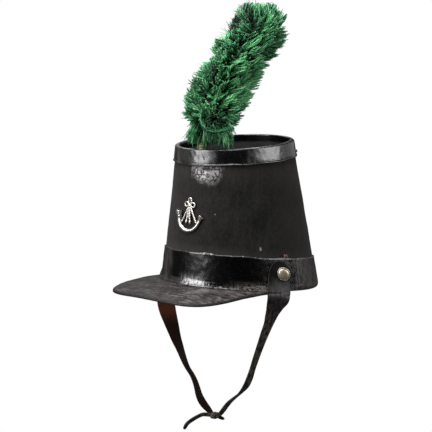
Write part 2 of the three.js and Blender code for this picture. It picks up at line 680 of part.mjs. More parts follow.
// ---------------------------------------------------------------- assembly
const shako = new THREE.Group();
shako.name = "shako";
shako.add(
  piece("crown_body", crownBody(), 0x2b2a29, 0.95, 0),
  piece("crown_top", crownTop(), 0x141415, 0.5, 0),
  piece("top_band", topBand(), 0x0c0c0e, 0.25, 0),
  piece("band_stud", bandStud(), 0x1a1a1a, 0.4, 0),
  piece("lower_band", lowerBand(), 0x0a0a0c, 0.25, 0),
  piece("peak", peak(), 0x3f3a3a, 0.6, 0),
  piece("strap_left", strap(LEFT_STRAP_ROWS, 1), 0x1e1c1c, 0.5, 0),
  piece("strap_right", strap(RIGHT_STRAP_ROWS, -1), 0x24160f, 0.6, 0),
  piece("strap_knot", strapKnot(), 0x1c1817, 0.5, 0),
  piece("strap_button_left", strapButton(1), 0xb9b0a0, 0.35, 1),
  piece("strap_button_right", strapButton(-1), 0xb9b0a0, 0.35, 1),
  piece("badge", badge(), 0xd9d5cf, 0.3, 1),
  piece("plume", plume(), 0x2f8a57, 0.9, 0),
  piece("plume_stem", plumeStem(), 0xa9a07c, 0.85, 0),
);

export default shako;
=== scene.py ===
"""Looks of a tapered felt shako with leather bands, a peak, a horn badge, a wool plume
and a knotted chin strap. Lengths are worked out in millimetres and put into each mesh
in metres. +Z is up, -Y is the front and +X is the wearer's left."""

from __future__ import annotations

import logging
import math
from dataclasses import dataclass, field
from enum import Enum
from typing import Any, Sequence

import bpy
import numpy as np
from mathutils import Matrix, Vector

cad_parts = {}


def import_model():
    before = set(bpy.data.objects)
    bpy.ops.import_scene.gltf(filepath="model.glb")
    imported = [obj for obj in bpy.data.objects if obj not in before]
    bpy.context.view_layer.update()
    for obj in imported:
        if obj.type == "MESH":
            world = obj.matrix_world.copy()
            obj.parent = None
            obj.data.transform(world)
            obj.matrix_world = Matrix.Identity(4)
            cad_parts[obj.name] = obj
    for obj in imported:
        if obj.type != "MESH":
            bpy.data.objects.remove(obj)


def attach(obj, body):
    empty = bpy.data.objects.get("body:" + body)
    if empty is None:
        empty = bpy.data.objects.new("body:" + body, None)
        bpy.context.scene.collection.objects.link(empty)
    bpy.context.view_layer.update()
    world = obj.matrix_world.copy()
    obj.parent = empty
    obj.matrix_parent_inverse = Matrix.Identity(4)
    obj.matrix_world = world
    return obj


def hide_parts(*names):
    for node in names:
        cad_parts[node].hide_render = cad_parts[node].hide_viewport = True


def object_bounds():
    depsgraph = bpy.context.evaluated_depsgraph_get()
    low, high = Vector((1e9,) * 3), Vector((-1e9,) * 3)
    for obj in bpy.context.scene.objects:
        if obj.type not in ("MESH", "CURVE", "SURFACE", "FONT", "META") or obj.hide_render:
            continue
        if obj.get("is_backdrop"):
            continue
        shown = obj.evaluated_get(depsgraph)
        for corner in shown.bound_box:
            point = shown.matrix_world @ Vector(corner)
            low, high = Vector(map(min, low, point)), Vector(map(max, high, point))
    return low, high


Array = np.ndarray
Colour = tuple[float, float, float]
Place = tuple[float, float, float]
Row = tuple[float, ...]
LOG = logging.getLogger("shako")
MM = 0.001


# ---------- numbers
def smooth(value: Array | float, low: float = 0.0, high: float = 1.0) -> Array:
    """Eases from 0 at low to 1 at high, with level ends (3t^2 - 2t^3)."""
    t = np.clip((np.asarray(value, float) - low) / (high - low), 0.0, 1.0)
    return t * t * (3.0 - 2.0 * t)


def hump(value: Array, middle: float, reach: float) -> Array:
    """Rises to 1 at middle and falls to 0 at reach on either side."""
    return 1.0 - smooth(np.abs(np.asarray(value, float) - middle), 0.0, reach)


def unit(vectors: Array) -> Array:
    """Scales each vector of the last axis to length 1."""
    return vectors / np.maximum(np.linalg.norm(vectors, axis=-1, keepdims=True), 1e-12)


def ripple(points: Array, wavelength: float, seed: int, waves: int = 14) -> Array:
    """A smooth random field of about -1 to 1: a sum of plane cosine waves.

    Args:
        points: places, with x, y, z on the last axis.
        wavelength: mean distance between crests, in the unit of points.
        seed: picks the directions and phases.
        waves: how many waves are summed.

    Returns:
        One value for each place.
    """
    rng = np.random.default_rng(seed)
    ways = unit(rng.normal(size=(waves, 3))) * (2 * np.pi / wavelength)
    ways *= rng.uniform(0.6, 1.5, size=(waves, 1))
    phases = rng.uniform(0, 2 * np.pi, waves)
    return np.cos(points @ ways.T + phases).sum(-1) / math.sqrt(waves)


def spline(rows: Array, per_span: int) -> Array:
    """A centripetal Catmull-Rom curve through table rows.

    Each span is a cubic whose end slopes come from the two neighbouring rows, weighted
    by the square root of the distance between them; further columns ride along.

    Args:
        rows: (n, 3 + k) table, x, y, z first.
        per_span: points for each span.

    Returns:
        ((n - 1) * per_span + 1, 3 + k) table.
    """
    ends = [2 * rows[0] - rows[1]], [2 * rows[-1] - rows[-2]]
    p = np.concatenate([ends[0], rows, ends[1]])
    gaps = np.sqrt(np.linalg.norm(np.diff(p[:, :3], axis=0), axis=1))[:, None]
    a, b, c, d = p[:-3], p[1:-2], p[2:-1], p[3:]
    g0, g1, g2 = gaps[:-2], gaps[1:-1], gaps[2:]
    m1 = ((b - a) / g0 - (c - a) / (g0 + g1) + (c - b) / g1) * g1
    m2 = ((c - b) / g1 - (d - b) / (g1 + g2) + (d - c) / g2) * g1
    t = np.linspace(0, 1, per_span, endpoint=False)[None, :, None]
    b, c, m1, m2 = b[:, None], c[:, None], m1[:, None], m2[:, None]
    h = (2 * t**3 - 3 * t**2 + 1) * b + (t**3 - 2 * t**2 + t) * m1
    h = h + (3 * t**2 - 2 * t**3) * c + (t**3 - t**2) * m2
    return np.concatenate([h.reshape(-1, rows.shape[1]), rows[-1:]])


def rounded_loop(corners: Sequence[tuple[float, float]], radius: float, spacing: float) -> Array:
    """A closed outline with rounded corners and evenly divided straight runs.

    Each corner becomes a quadratic curve between points at most radius away from it.

    Args:
        corners: the outline's corners in order.
        radius: how far a rounding reaches along each side.
        spacing: the longest step along a straight run.

    Returns:
        (n, 2) points.
    """
    most = 0.48

    def cut(sides: Array) -> Array:
        """The stretch of each side that its rounding takes, at most about half."""
        return sides * np.minimum(most, radius / np.linalg.norm(sides, axis=1, keepdims=True))

    pts = np.array(corners, float)
    before, after = np.roll(pts, 1, axis=0) - pts, np.roll(pts, -1, axis=0) - pts
    start, end = pts + cut(before), pts + cut(after)
    t = np.linspace(0, 1, 5)[None, :, None]
    arcs = (1 - t) ** 2 * start[:, None] + 2 * t * (1 - t) * pts[:, None] + t**2 * end[:, None]
    out: list[Array] = []
    for arc, nxt in zip(arcs, np.roll(arcs, -1, axis=0)):
        out.append(arc)
        steps = int(np.linalg.norm(nxt[0] - arc[-1]) / spacing) + 1
        out.append(arc[-1] + (nxt[0] - arc[-1]) * (np.arange(1, steps) / steps)[:, None])
    return np.concatenate(out)


# ---------- meshes
@dataclass
class Surface:
    """A piece of skin: places in millimetres, faces and named values for each place."""

    places: Array
    quads: Array
    tris: Array = field(default_factory=lambda: np.zeros((0, 3), int))
    values: dict[str, Array] = field(default_factory=dict)

    @staticmethod
    def join(parts: Sequence[Surface]) -> Surface:
        """Puts several skins into one, side by side.

        Args:
            parts: the skins; a value that one of them lacks is 0 there.

        Returns:
            One skin.
        """
        starts = np.cumsum([0] + [len(p.places) for p in parts[:-1]])
        names = sorted({n for p in parts for n in p.values})
        blank = [np.zeros(len(p.places)) for p in parts]
        return Surface(
            np.concatenate([p.places for p in parts]),
            np.concatenate([p.quads + s for p, s in zip(parts, starts)]),
            np.concatenate([p.tris + s for p, s in zip(parts, starts)]),
            {n: np.concatenate([p.values.get(n, b) for p, b in zip(parts, blank)]) for n in names},
        )

    def volume(self) -> float:
        """Signed volume: the sum of a . (b x c) / 6 over the triangles.

        Returns:
            Cubic millimetres, above 0 if the faces point outwards.
        """
        q, t = self.quads, self.tris
        tri = np.concatenate([q[:, [0, 1, 2]], q[:, [0, 2, 3]], t]) if len(q) else t
        a, b, c = self.places[tri[:, 0]], self.places[tri[:, 1]], self.places[tri[:, 2]]
        return float((a * np.cross(b, c)).sum() / 6)

    def outwards(self) -> Surface:
        """Turns the faces over if they point inwards.

        Returns:
            The same skin.
        """
        if self.volume() < 0:
            self.quads, self.tris = self.quads[:, ::-1], self.tris[:, ::-1]
        return self


def lofted(rings: Array, wrapped: bool, values: dict[str, Array] | None = None) -> Surface:
    """Joins closed rings of equal length, and closes the two ends with fans.

    Args:
        rings: (rings, points, 3) places; each ring closes on itself.
        wrapped: whether the last ring joins the first, so that no end is left.
        values: named (rings, points) values.

    Returns:
        A closed skin.
    """
    rows, cols = rings.shape[:2]
    i = np.arange(rows if wrapped else rows - 1)[:, None]
    j = np.arange(cols)[None, :]
    k, n = (j + 1) % cols, (i + 1) % rows
    quads = np.stack([i * cols + j, i * cols + k, n * cols + k, n * cols + j], -1).reshape(-1, 4)
    places = rings.reshape(-1, 3)
    named = {name: v.reshape(-1) for name, v in (values or {}).items()}
    tris = np.zeros((0, 3), int)
    if not wrapped:
        places = np.concatenate([places, rings[0].mean(0)[None], rings[-1].mean(0)[None]])
        named = {m: np.concatenate([v, [v[:cols].mean(), v[-cols:].mean()]]) for m, v in named.items()}
        a, ring = rows * cols, np.arange(cols)
        nxt = (ring + 1) % cols
        first = np.stack([np.full(cols, a), nxt, ring], -1)
        end = (rows - 1) * cols
        last = np.stack([np.full(cols, a + 1), ring + end, nxt + end], -1)
        tris = np.concatenate([first, last])
    return Surface(places, quads, tris, named).outwards()


def turned(profile: Array, sides: int) -> Surface:
    """Turns a profile about the z axis: the first and last rows are its poles.

    Args:
        profile: (n, 2) rows of radius and height, from pole to pole.
        sides: facets round the axis.

    Returns:
        A closed skin, with the value "radius".
    """
    angle = circle(sides)
    r, z = profile[1:-1, 0][:, None], profile[1:-1, 1][:, None]
    rings = np.stack([r * np.cos(angle), r * np.sin(angle), z + 0 * angle], -1)
    skin = lofted(rings, False, {"radius": r + 0 * angle})
    skin.places[-2:] = [[0, 0, profile[0, 1]], [0, 0, profile[-1, 1]]]
    skin.values["radius"][-2:] = 0.0
    return skin.outwards()


def tube(path: Array, radius: Array, sides: int, flat: float = 1.0) -> Surface:
    """Carries a round or flattened section along a path.

    Each ring is path + radius (cos a * side + flat * sin a * up), where side is level and
    up is square to it and to the path.

    Args:
        path: (n, 3) places.
        radius: (n,) radii.
        sides: facets round the path.
        flat: height of the section over its width.

    Returns:
        A closed skin.
    """
    along = unit(np.gradient(path, axis=0))
    side = unit(np.cross(along, [0.0, 0, 1]))
    up = np.cross(side, along)
    a = circle(sides)[None, :, None]
    section = np.cos(a) * side[:, None] + flat * np.sin(a) * up[:, None]
    return lofted(path[:, None] + radius[:, None, None] * section, False)


def travelled(path: Array) -> Array:
    """Distance along a path at each of its places."""
    return np.concatenate([[0], np.cumsum(np.linalg.norm(np.diff(path, axis=0), axis=1))])


def circle(count: int) -> Array:
    """Even angles once round, in radians."""
    return np.linspace(0, 2 * np.pi, count, endpoint=False)


def level_way(angle: Array) -> Array:
    """Level directions at angles from +x towards +y: (cos, sin, 0)."""
    return np.stack([np.cos(angle), np.sin(angle), 0 * angle], -1)


def make_piece(
    name: str, skin: Surface, finish: Finish, slot: str, nodes: Sequence[str] = ()
) -> bpy.types.Object:
    """Puts a skin into a mesh in metres, dresses it and ties it to the frame.

    Args:
        name: the piece's name.
        skin: its surface in millimetres.
        finish: what it is covered with.
        slot: the record's material slot.
        nodes: the CAD nodes it stands for.

    Returns:
        The new object.
    """
    mesh = bpy.data.meshes.new(name)
    faces = [f for f in (skin.quads, skin.tris) if len(f)]
    corners = np.concatenate([f.reshape(-1) for f in faces])
    sizes = np.concatenate([np.full(len(f), f.shape[1]) for f in faces])
    mesh.vertices.add(len(skin.places))
    mesh.vertices.foreach_set("co", (skin.places * MM).astype(np.float32).reshape(-1))
    mesh.loops.add(len(corners))
    mesh.loops.foreach_set("vertex_index", corners.astype(np.int32))
    mesh.polygons.add(len(sizes))
    mesh.polygons.foreach_set("loop_start", (np.cumsum(sizes) - sizes).astype(np.int32))
    mesh.polygons.foreach_set("use_smooth", np.ones(len(sizes), bool))
    for key, value in skin.values.items():
        mesh.attributes.new(key, "FLOAT", "POINT").data.foreach_set("value", value.astype(np.float32))
    mesh.update(calc_edges=True)
    mesh.validate()
    mesh.materials.append(finish.material())
    piece = bpy.data.objects.new(name, mesh)
    bpy.context.scene.collection.objects.link(piece)
    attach(piece, "root")
    if nodes:
        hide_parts(*nodes)
    triangles = 2 * len(skin.quads) + len(skin.tris)
    stands_for = ", ".join(nodes) or "nothing"
    LOG.info("%s: %d triangles, slot %s, stands for %s", name, triangles, slot, stands_for)
    return piece


# ---------- shading
class Pen:
    """Draws the nodes of a material or of the world."""

    def __init__(self, owner: bpy.types.Material | bpy.types.World) -> None:
        """Starts with an empty page.

        Args:
            owner: the material or world that gets the nodes.
        """
        owner.use_nodes = True
        self.owner, self.tree = owner, owner.node_tree
        self.tree.nodes.clear()

    def node(
        self, kind: str, settings: dict[str, Any] | None = None, inputs: dict[Any, Any] | None = None
    ) -> bpy.types.Node:
        """Adds one node.

        Args:
            kind: Blender's name for the node type.
            settings: what is set on the node before its sockets; "stops" fills a ramp.
            inputs: socket name or number to a value, a Wire or a socket.

        Returns:
            The node.
        """
        made = self.tree.nodes.new(kind)
        for key, value in (settings or {}).items():
            if key == "stops":
                self._stops(made.color_ramp, value)
            else:
                setattr(made, key, value)
        for key, value in (inputs or {}).items():
            self.plug(made.inputs[key], value)
        return made

    @staticmethod
    def _stops(ramp: bpy.types.ColorRamp, stops: Sequence[tuple[float, Sequence[float]]]) -> None:
        """Gives a ramp its stops.

        Args:
            ramp: the ramp, which keeps one of its own stops.
            stops: each a place from 0 to 1 and a colour.
        """
        while len(ramp.elements) > 1:
            ramp.elements.remove(ramp.elements[-1])
        for n, (place, colour) in enumerate(stops):
            stop = ramp.elements[0] if n == 0 else ramp.elements.new(place)
            stop.position = place
            stop.color = (*colour[:3], 1.0)

    def plug(self, socket: bpy.types.NodeSocket, value: Any) -> None:
        """Links a wire to a socket, or sets the socket's own value.

        Args:
            socket: the socket that is fed.
            value: a Wire, an output socket, a number or a colour.
        """
        if isinstance(value, Wire):
            self.tree.links.new(value.socket, socket)
        elif isinstance(value, bpy.types.NodeSocket):
            self.tree.links.new(value, socket)
        elif socket.type == "RGBA":
            socket.default_value = (*value[:3], 1.0)
        else:
            socket.default_value = value

    def wire(self, node: bpy.types.Node, output: Any = 0) -> Wire:
        """One output of a node, ready for sums."""
        return Wire(self, node.outputs[output])

    def places(self) -> Wire:
        """Places on the object, in metres."""
        return self.wire(self.node("ShaderNodeTexCoord"), "Object")

    def value(self, name: str) -> Wire:
        """A value that the mesh carries."""
        return self.wire(self.node("ShaderNodeAttribute", {"attribute_name": name}), "Fac")

    def axis(self, places: Wire, number: int) -> Wire:
        """One axis of places in millimetres: 0 for x, 1 for y and 2 for z."""
        parts = self.node("ShaderNodeSeparateXYZ", None, {"Vector": places})
        return self.wire(parts, number) * (1.0 / MM)

    def stretched(self, places: Wire, scale: Sequence[float]) -> Wire:
        """Places stretched along each axis."""
        return self.wire(self.node("ShaderNodeMapping", None, {"Vector": places, "Scale": scale}))

    def upright(self, places: Wire, share: float) -> Wire:
        """Places for a pattern that is drawn out upwards, or pressed if share is above 1."""
        return self.stretched(places, (1, 1, share))

    def noise(self, places: Wire, scale: float, detail: float = 3.0, rough: float = 0.55) -> Wire:
        """Cloudy noise of about 0.25 to 0.75; scale is the number of blobs to a metre."""
        inputs = {"Vector": places, "Scale": scale, "Detail": detail, "Roughness": rough}
        return self.wire(self.node("ShaderNodeTexNoise", {"noise_dimensions": "3D"}, inputs))

    def cells(self, places: Wire, scale: float, feature: str = "F1") -> Wire:
        """Distance in a field of cells; scale is the number of cells to a metre."""
        made = self.node("ShaderNodeTexVoronoi", {"voronoi_dimensions": "3D", "feature": feature},
                         {"Vector": places, "Scale": scale})
        return self.wire(made, "Distance")

    def ramp(self, fac: Wire, stops: Sequence[tuple[float, Sequence[float]]]) -> Wire:
        """Colours laid along a value."""
        return self.wire(self.node("ShaderNodeValToRGB", {"stops": stops}, {"Fac": fac}))

    def mix(self, fac: Any, first: Any, second: Any) -> Wire:
        """Goes from the first colour to the second as fac goes from 0 to 1."""
        made = self.node("ShaderNodeMix", {"data_type": "RGBA"}, {0: fac, 6: first, 7: second})
        return self.wire(made, 2)

    def bump(self, height: Wire, strength: float, deep: float) -> Wire:
        """A normal bent by a height; deep is the height in metres of a step of 1."""
        inputs = {"Height": height, "Strength": strength, "Distance": deep}
        return self.wire(self.node("ShaderNodeBump", None, inputs))

    def shader(self, **inputs: Any) -> bpy.types.Material:
        """Ends the material with one Principled shader.

        Args:
            inputs: socket names, with underscores for spaces, to values or wires.

        Returns:
            The material.
        """
        named = {key.replace("_", " "): value for key, value in inputs.items()}
        body = self.node("ShaderNodeBsdfPrincipled", None, named)
        self.node("ShaderNodeOutputMaterial", None, {"Surface": body.outputs[0]})
        return self.owner

    def two_ways(self, seen: bpy.types.Node, lit: bpy.types.Node, end: str) -> None:
        """Ends the nodes with one shader to look at and another to light with.

        Args:
            seen: the shader for the camera.
            lit: the shader for everything else.
            end: the kind of output node.
        """
        path = self.node("ShaderNodeLightPath")
        ends = {0: path.outputs["Is Camera Ray"], 1: lit.outputs[0], 2: seen.outputs[0]}
        both = self.node("ShaderNodeMixShader", None, ends)
        self.node(end, None, {"Surface": both.outputs[0]})


class Wire:
    """A value on its way through a material: sums on it add Math nodes."""

    def __init__(self, pen: Pen, socket: bpy.types.NodeSocket) -> None:
        """Holds one output socket."""
        self.pen, self.socket = pen, socket

    def _math(self, kind: str, *values: Any, clamp: bool = False) -> Wire:
        """Adds one Math node over the values."""
        settings = {"operation": kind, "use_clamp": clamp}
        return self.pen.wire(self.pen.node("ShaderNodeMath", settings, dict(enumerate(values))))

    def __add__(self, other: Any) -> Wire:
        """self + other"""
        return self._math("ADD", self, other)

    __radd__ = __add__

    def __mul__(self, other: Any) -> Wire:
        """self * other"""
        return self._math("MULTIPLY", self, other)

    __rmul__ = __mul__

    def __sub__(self, other: Any) -> Wire:
        """self - other"""
        return self._math("SUBTRACT", self, other)

    def __rsub__(self, other: Any) -> Wire:
        """other - self"""
        return self._math("SUBTRACT", other, self)

    def __truediv__(self, other: Any) -> Wire:
        """self / other"""
        return self._math("DIVIDE", self, other)

    def __rtruediv__(self, other: Any) -> Wire:
        """other / self"""
        return self._math("DIVIDE", other, self)

    def __abs__(self) -> Wire:
        """The size of self without its sign."""
        return self._math("ABSOLUTE", self)

    def step(self, low: float, high: float) -> Wire:
        """A smooth step over the value; low above high turns it over.

        Args:
            low: the value at which it starts to leave 0.
            high: the value from which it stays 1.

        Returns:
            0 to 1.
        """
        kind = {"interpolation_type": "SMOOTHSTEP", "clamp": True}
        ends = {"From Min": low, "From Max": high} if low < high else {"From Min": high, "From Max": low}
        made = self.pen.wire(self.pen.node("ShaderNodeMapRange", kind, {"Value": self, **ends}))
        return made if low < high else 1.0 - made

    def line(self, middle: float, half: float, soft: float) -> Wire:
        """1 within half of middle, and 0 past soft more."""
        return abs(self - middle).step(half + soft, half)

    def clamped(self) -> Wire:
        """self held between 0 and 1."""
        return self._math("ADD", self, 0.0, clamp=True)

    def larger(self, other: Any) -> Wire:
        """The larger of two values."""
        return self._math("MAXIMUM", self, other)

    def degrees_over(self, other: Any) -> Wire:
        """The angle whose tangent is self over other, in degrees from -180 to 180."""
        return self._math("ARCTAN2", self, other) * (180.0 / math.pi)


class Finish:
    """What a piece is covered with. Each kind is drawn once."""

    name: str
    _made: dict[Finish, bpy.types.Material] = {}

    def draw(self, pen: Pen) -> bpy.types.Material:
        """Draws the nodes with the pen; each kind of finish has its own way."""
        raise NotImplementedError

    def material(self) -> bpy.types.Material:
        """Draws the finish at its first use.

        Returns:
            Its material.
        """
        if self not in Finish._made:
            Finish._made[self] = self.draw(Pen(bpy.data.materials.new(self.name)))
        return Finish._made[self]


def crown_place(pen: Pen, places: Wire) -> tuple[Wire, Wire]:
    """Turns places into the angle round the crown in degrees and the height in millimetres.

    The angle is atan2(x / half width, -(y - centre) / half length), with the oval's sizes
    taken at the place's own height; the wall's top falls by a seventh towards the front.

    Args:
        pen: draws the nodes.
        places: places on the object, in metres.

    Returns:
        The angle and the height.
    """
    form, middle, fall = CrownForm(), 14.0, 0.14
    x, y, z = (pen.axis(places, n) for n in range(3))
    share = z / (form.top_height - (0 - y - middle) * fall)
    ahead = (0 - y - share * form.top_forward) / (form.rim_length - share * form.length_lost)
    across = x / (form.rim_width - share * form.width_lost)
    return across.degrees_over(ahead), z


class Wear(Enum):
    """Where a leather band is rubbed."""

    EVEN = 0.35
    HARD = 1.0


@dataclass(frozen=True)
class Felt(Finish):
    """Matt black wool felt with lint, faint streaks and one rubbed, cracked patch."""

    name: str = "black_wool_felt"
    colour: Colour = (0.0125, 0.0117, 0.0112)
    lint: Colour = (0.12, 0.112, 0.1)
    dusty: Colour = (0.046, 0.042, 0.04)
    faded: Colour = (0.021, 0.018, 0.0165)
    hide: tuple[Colour, Colour] = ((0.09, 0.085, 0.087), (0.36, 0.344, 0.344))
    hide_far: Colour = (0.42, 0.405, 0.4)
    flake: Colour = (0.8, 0.77, 0.74)
    gap: Colour = (0.003, 0.003, 0.003)
    mark: Colour = (0.36, 0.33, 0.27)
    patch_from: float = -4.2
    patch_to: float = 29.0
    patch_low: float = 109.5

    def draw(self, pen: Pen) -> bpy.types.Material:
        """Felt, then the patch and its cracks, then two small pale marks.

        Args:
            pen: draws the nodes.

        Returns:
            The material.
        """
        p = pen.places()
        theta, high = crown_place(pen, p)
        fine = pen.noise(p, 1500, 4, 0.7)
        cloud = pen.noise(p, 45, 4)
        streak = pen.noise(pen.upright(p, 0.16), 210, 4, 0.6)
        nap = pen.noise(pen.upright(p, 0.6), 420, 3, 0.6)
        tone = (fine - 0.5) * 1.4 + (cloud - 0.5) * 1.3 + (streak - 0.5) * 0.8 + (nap - 0.5) * 1.4
        darkest, lightest = 0.3, 1.8
        ends = [[c * share for c in self.colour] for share in (darkest, lightest)]
        wool = pen.mix((tone + 0.5).clamped(), *ends)
        # lint, dust near the two bands and towards the front, and felt faded on the side
        lint = pen.cells(p, 260).step(0.13, 0.04) * pen.noise(p, 120).step(0.56, 0.66)
        wool = pen.mix(lint * 0.4, wool, self.lint)
        rubbed = high.step(47, 37) * (cloud + 0.3) + high.step(104, 132) * (cloud + 0.25)
        rubbed = rubbed + theta.step(32, -10) * 0.5
        wool = pen.mix((rubbed * 0.35).clamped(), wool, self.dusty)
        wool = pen.mix(theta.step(62, 92) * 0.5, wool, self.faded)
        # the rubbed patch: ragged edges, a lower edge that climbs at both ends, bare hide
        edge = (pen.noise(p, 260, 5, 0.65) - 0.5) * 16
        patch = theta.step(self.patch_from, self.patch_from + 0.6)
        patch = patch * (theta + edge).step(self.patch_to + 2, 22)
        lift = theta.step(9, -4) * 7 + theta.step(19, 33) * 11
        patch = patch * (high + edge * 0.7 - lift).step(self.patch_low - 3, 120)
        scuffs = pen.noise(p, 480, 5, 0.65)
        hide = pen.mix(scuffs.step(0.33, 0.66), *self.hide)
        hide = pen.mix(theta.step(13, 20) * 0.35, hide, self.hide_far)
        heart = (theta.line(9, 3, 6) * high.line(118.5, 2.5, 5)).clamped()
        flakes = heart * scuffs.step(0.42, 0.55)
        hide = pen.mix(flakes * 0.8, hide, self.flake)
        cracks = pen.cells(pen.upright(p, 0.8), 190, "DISTANCE_TO_EDGE").step(0.13, 0.04)
        cracks = cracks * pen.noise(p, 150).step(0.45, 0.53)
        holes = theta.line(12.5, 3, 2) * high.line(126, 0.7, 1.6) * scuffs.step(0.4, 0.5)
        hide = pen.mix(cracks.larger(holes) * 0.95, hide, self.gap)
        colour = pen.mix(patch * 0.92, wool, hide)
        # two small marks, and the nap
        spot = theta.line(55.7, 0.25, 0.8) * high.line(45.6, 0.9, 1.6)
        spot = spot.larger(theta.line(21.3, 0.2, 0.5) * high.line(78.8, 0.3, 0.6) * 0.6)
        colour = pen.mix(spot * 0.85, colour, self.mark)
        fuzz = fine * 0.5 + streak * 0.4 + pen.noise(p, 520, 3) * 0.6
        relief = fuzz * (1 - patch * 0.6) + (scuffs - cracks * 0.8) * patch * 1.2
        return pen.shader(
            Base_Color=colour, Roughness=0.95 - patch * 0.5, Normal=pen.bump(relief, 0.6, 0.00045),
            Specular_IOR_Level=0.18, Sheen_Weight=0.03, Sheen_Roughness=0.5)


@dataclass(frozen=True)
class BandLeather(Finish):
    """Polished black leather, scuffed, with rubbed edges, a lapped seam and small chips.

    seam and seam_low place the lapped end (degrees, millimetres), chips_at is the height of
    the chipped edge, and nick the middle of a slit. The leather is dull past dull_from and
    before dull_before, in degrees. Pairs of colours go from dark to light.
    """

    name: str
    seam: float
    seam_low: float
    chips_at: float
    wear: Wear = Wear.EVEN
    dull_from: float = 200.0
    dull_over: float = 9.0
    polish: float = 0.85
    smoothness: float = 0.2
    dull_before: float = -14.0
    dust: float = 0.0
    nick: tuple[float, float] = (200.0, 0.0)
    black: tuple[Colour, Colour] = ((0.0003, 0.0003, 0.0004), (0.0017, 0.0016, 0.0019))
    dulled: tuple[Colour, Colour] = ((0.0025, 0.0023, 0.0024), (0.034, 0.0275, 0.0255))
    low_edge: Colour = (0.19, 0.17, 0.158)
    # pale grey of the painted highlight on the band's foot
    painted_foot_highlight: Colour = (0.3, 0.292, 0.3)
    flaked: Colour = (0.125, 0.1, 0.09)
    far: Colour = (0.035, 0.03, 0.029)
    dusty: Colour = (0.012, 0.0115, 0.011)
    rubbed: tuple[Colour, Colour] = ((0.05, 0.036, 0.031), (0.075, 0.07, 0.069))
    chipped: Colour = (0.46, 0.4, 0.33)
    cut: Colour = (0.001, 0.001, 0.001)
    slit: Colour = (0.0005, 0.0005, 0.0005)
    lining: Colour = (0.0014, 0.0013, 0.0014)

    def draw(self, pen: Pen) -> bpy.types.Material:
        """Polish broken by scuffs; the value "edge" is 1 at a cut or rolled edge.

        Args:
            pen: draws the nodes.

        Returns:
            The material.
        """
        p = pen.places()
        theta, high = crown_place(pen, p)
        edge = pen.value("edge")
        blotch = pen.noise(p, 60, 4)
        grain = pen.cells(p, 900)
        scuff = pen.noise(pen.upright(p, 1.9), 420, 5, 0.68)
        rub = pen.noise(pen.upright(p, 0.7), 170, 4, 0.6)
        # where it is dull: past one angle and before another, on the outside only
        dull = theta.step(self.dull_from, self.dull_from + self.dull_over)
        dull = dull.larger(theta.step(self.dull_before, self.dull_before - 10)) * (0.75 + blotch * 0.5)
        inside = pen.value("inside")
        dull = dull * (1 - inside)
        # black, rubbed pale along the lower edge, and a painted highlight where it is stretched over the
        # peak
        base = pen.mix(scuff.step(0.45, 0.72), *self.black)
        low_edge = high.step(12, 1) * theta.step(24, 52) * scuff.step(0.42, 0.57)
        base = pen.mix(low_edge * self.wear.value, base, self.low_edge)
        pucker = pen.noise(pen.upright(p, 0.2), 520, 3, 0.65)
        # painted highlight: pale grey in the creases where the band flares over the peak
        painted_highlight_zone = theta.step(-11, 1) * theta.step(16.5, 10) * high.step(15, 4) * self.wear.value
        base = pen.mix(painted_highlight_zone * pucker.step(0.36, 0.62), base, self.painted_foot_highlight)
        foot = high.step(10, 6) * theta.step(12, 15) * self.wear.value
        # the dull part's stains and flakes, then dust
        stain = pen.noise(pen.upright(p, 0.35), 120, 4, 0.6)
        faded = pen.mix(stain.step(0.42, 0.6), *self.dulled)
        fine = pen.noise(p, 330, 4, 0.7)
        flaked = fine.step(0.48, 0.6) * (0.5 + high.step(16, 3) * 0.4) * theta.step(0, 60)
        faded = pen.mix(flaked, faded, self.flaked)
        faded = pen.mix(theta.step(84, 108) * 0.35, faded, self.far)
        base = pen.mix(stain.step(0.42, 0.66) * self.dust, base, self.dusty)
        base = pen.mix((dull * 0.85).clamped(), base, faded)
        # worn edges, flecks, chips, the lap's dark line and the slit
        worn = (edge + (scuff - 0.5) * 1.3).step(0.45, 1.05) * self.wear.value
        rubbed = pen.mix(theta.step(24, 4), self.rubbed[1], self.rubbed[0])
        base = pen.mix((worn * 0.8).clamped(), base, rubbed)
        flecks = pen.cells(p, 300).step(0.15, 0.08) * pen.noise(p, 45, 2).step(0.7, 0.73)
        chips = high.line(self.chips_at, 0.6, 1.4) * pen.noise(p, 240, 4).step(0.56, 0.64)
        chips = chips * theta.line(50, 36, 12) * self.wear.value
        base = pen.mix((flecks * 0.5).larger(chips * 0.9), base, self.chipped)
        lap = theta.line(self.seam, 0.08, 0.16) * high.step(self.seam_low - 0.5, self.seam_low + 0.5)
        base = pen.mix(lap * 0.6, base, self.cut)
        slant = theta + (high - self.nick[1]) * 0.5
        nick = slant.line(self.nick[0], 0.2, 0.5) * high.line(self.nick[1], 1.2, 1)
        base = pen.mix(nick * 0.95, base, self.slit)
        scratch = scuff.step(0.47, 0.66) * rub.step(0.42, 0.68)
        base = pen.mix(inside * 0.85, base, self.lining)
        # roughness, gloss and relief
        rough = self.smoothness + scratch * 0.16 + blotch * 0.1 + dull * 0.3 + worn * 0.12 - foot * 0.04
        rough = rough + (stain - 0.5) * dull * 0.5 + nick * 0.5
        gloss = (1 - dull * 0.8) * (0.5 - scratch * 0.3) * min(1, self.polish * 1.2)
        gloss = gloss * (1 - foot * 0.9) * (1 - nick)
        gloss = gloss + painted_highlight_zone * pucker.step(0.34, 0.6) * 0.9
        relief = scuff * 0.3 + grain * 0.12 + rub * 0.45 + blotch * 0.9 - lap * 1.2 - nick * 2
        return pen.shader(
            Base_Color=base, Roughness=rough.clamped(), Normal=pen.bump(relief, 0.4, 0.0004),
            Specular_IOR_Level=self.polish, Coat_Weight=gloss.clamped(), Coat_Roughness=self.smoothness)


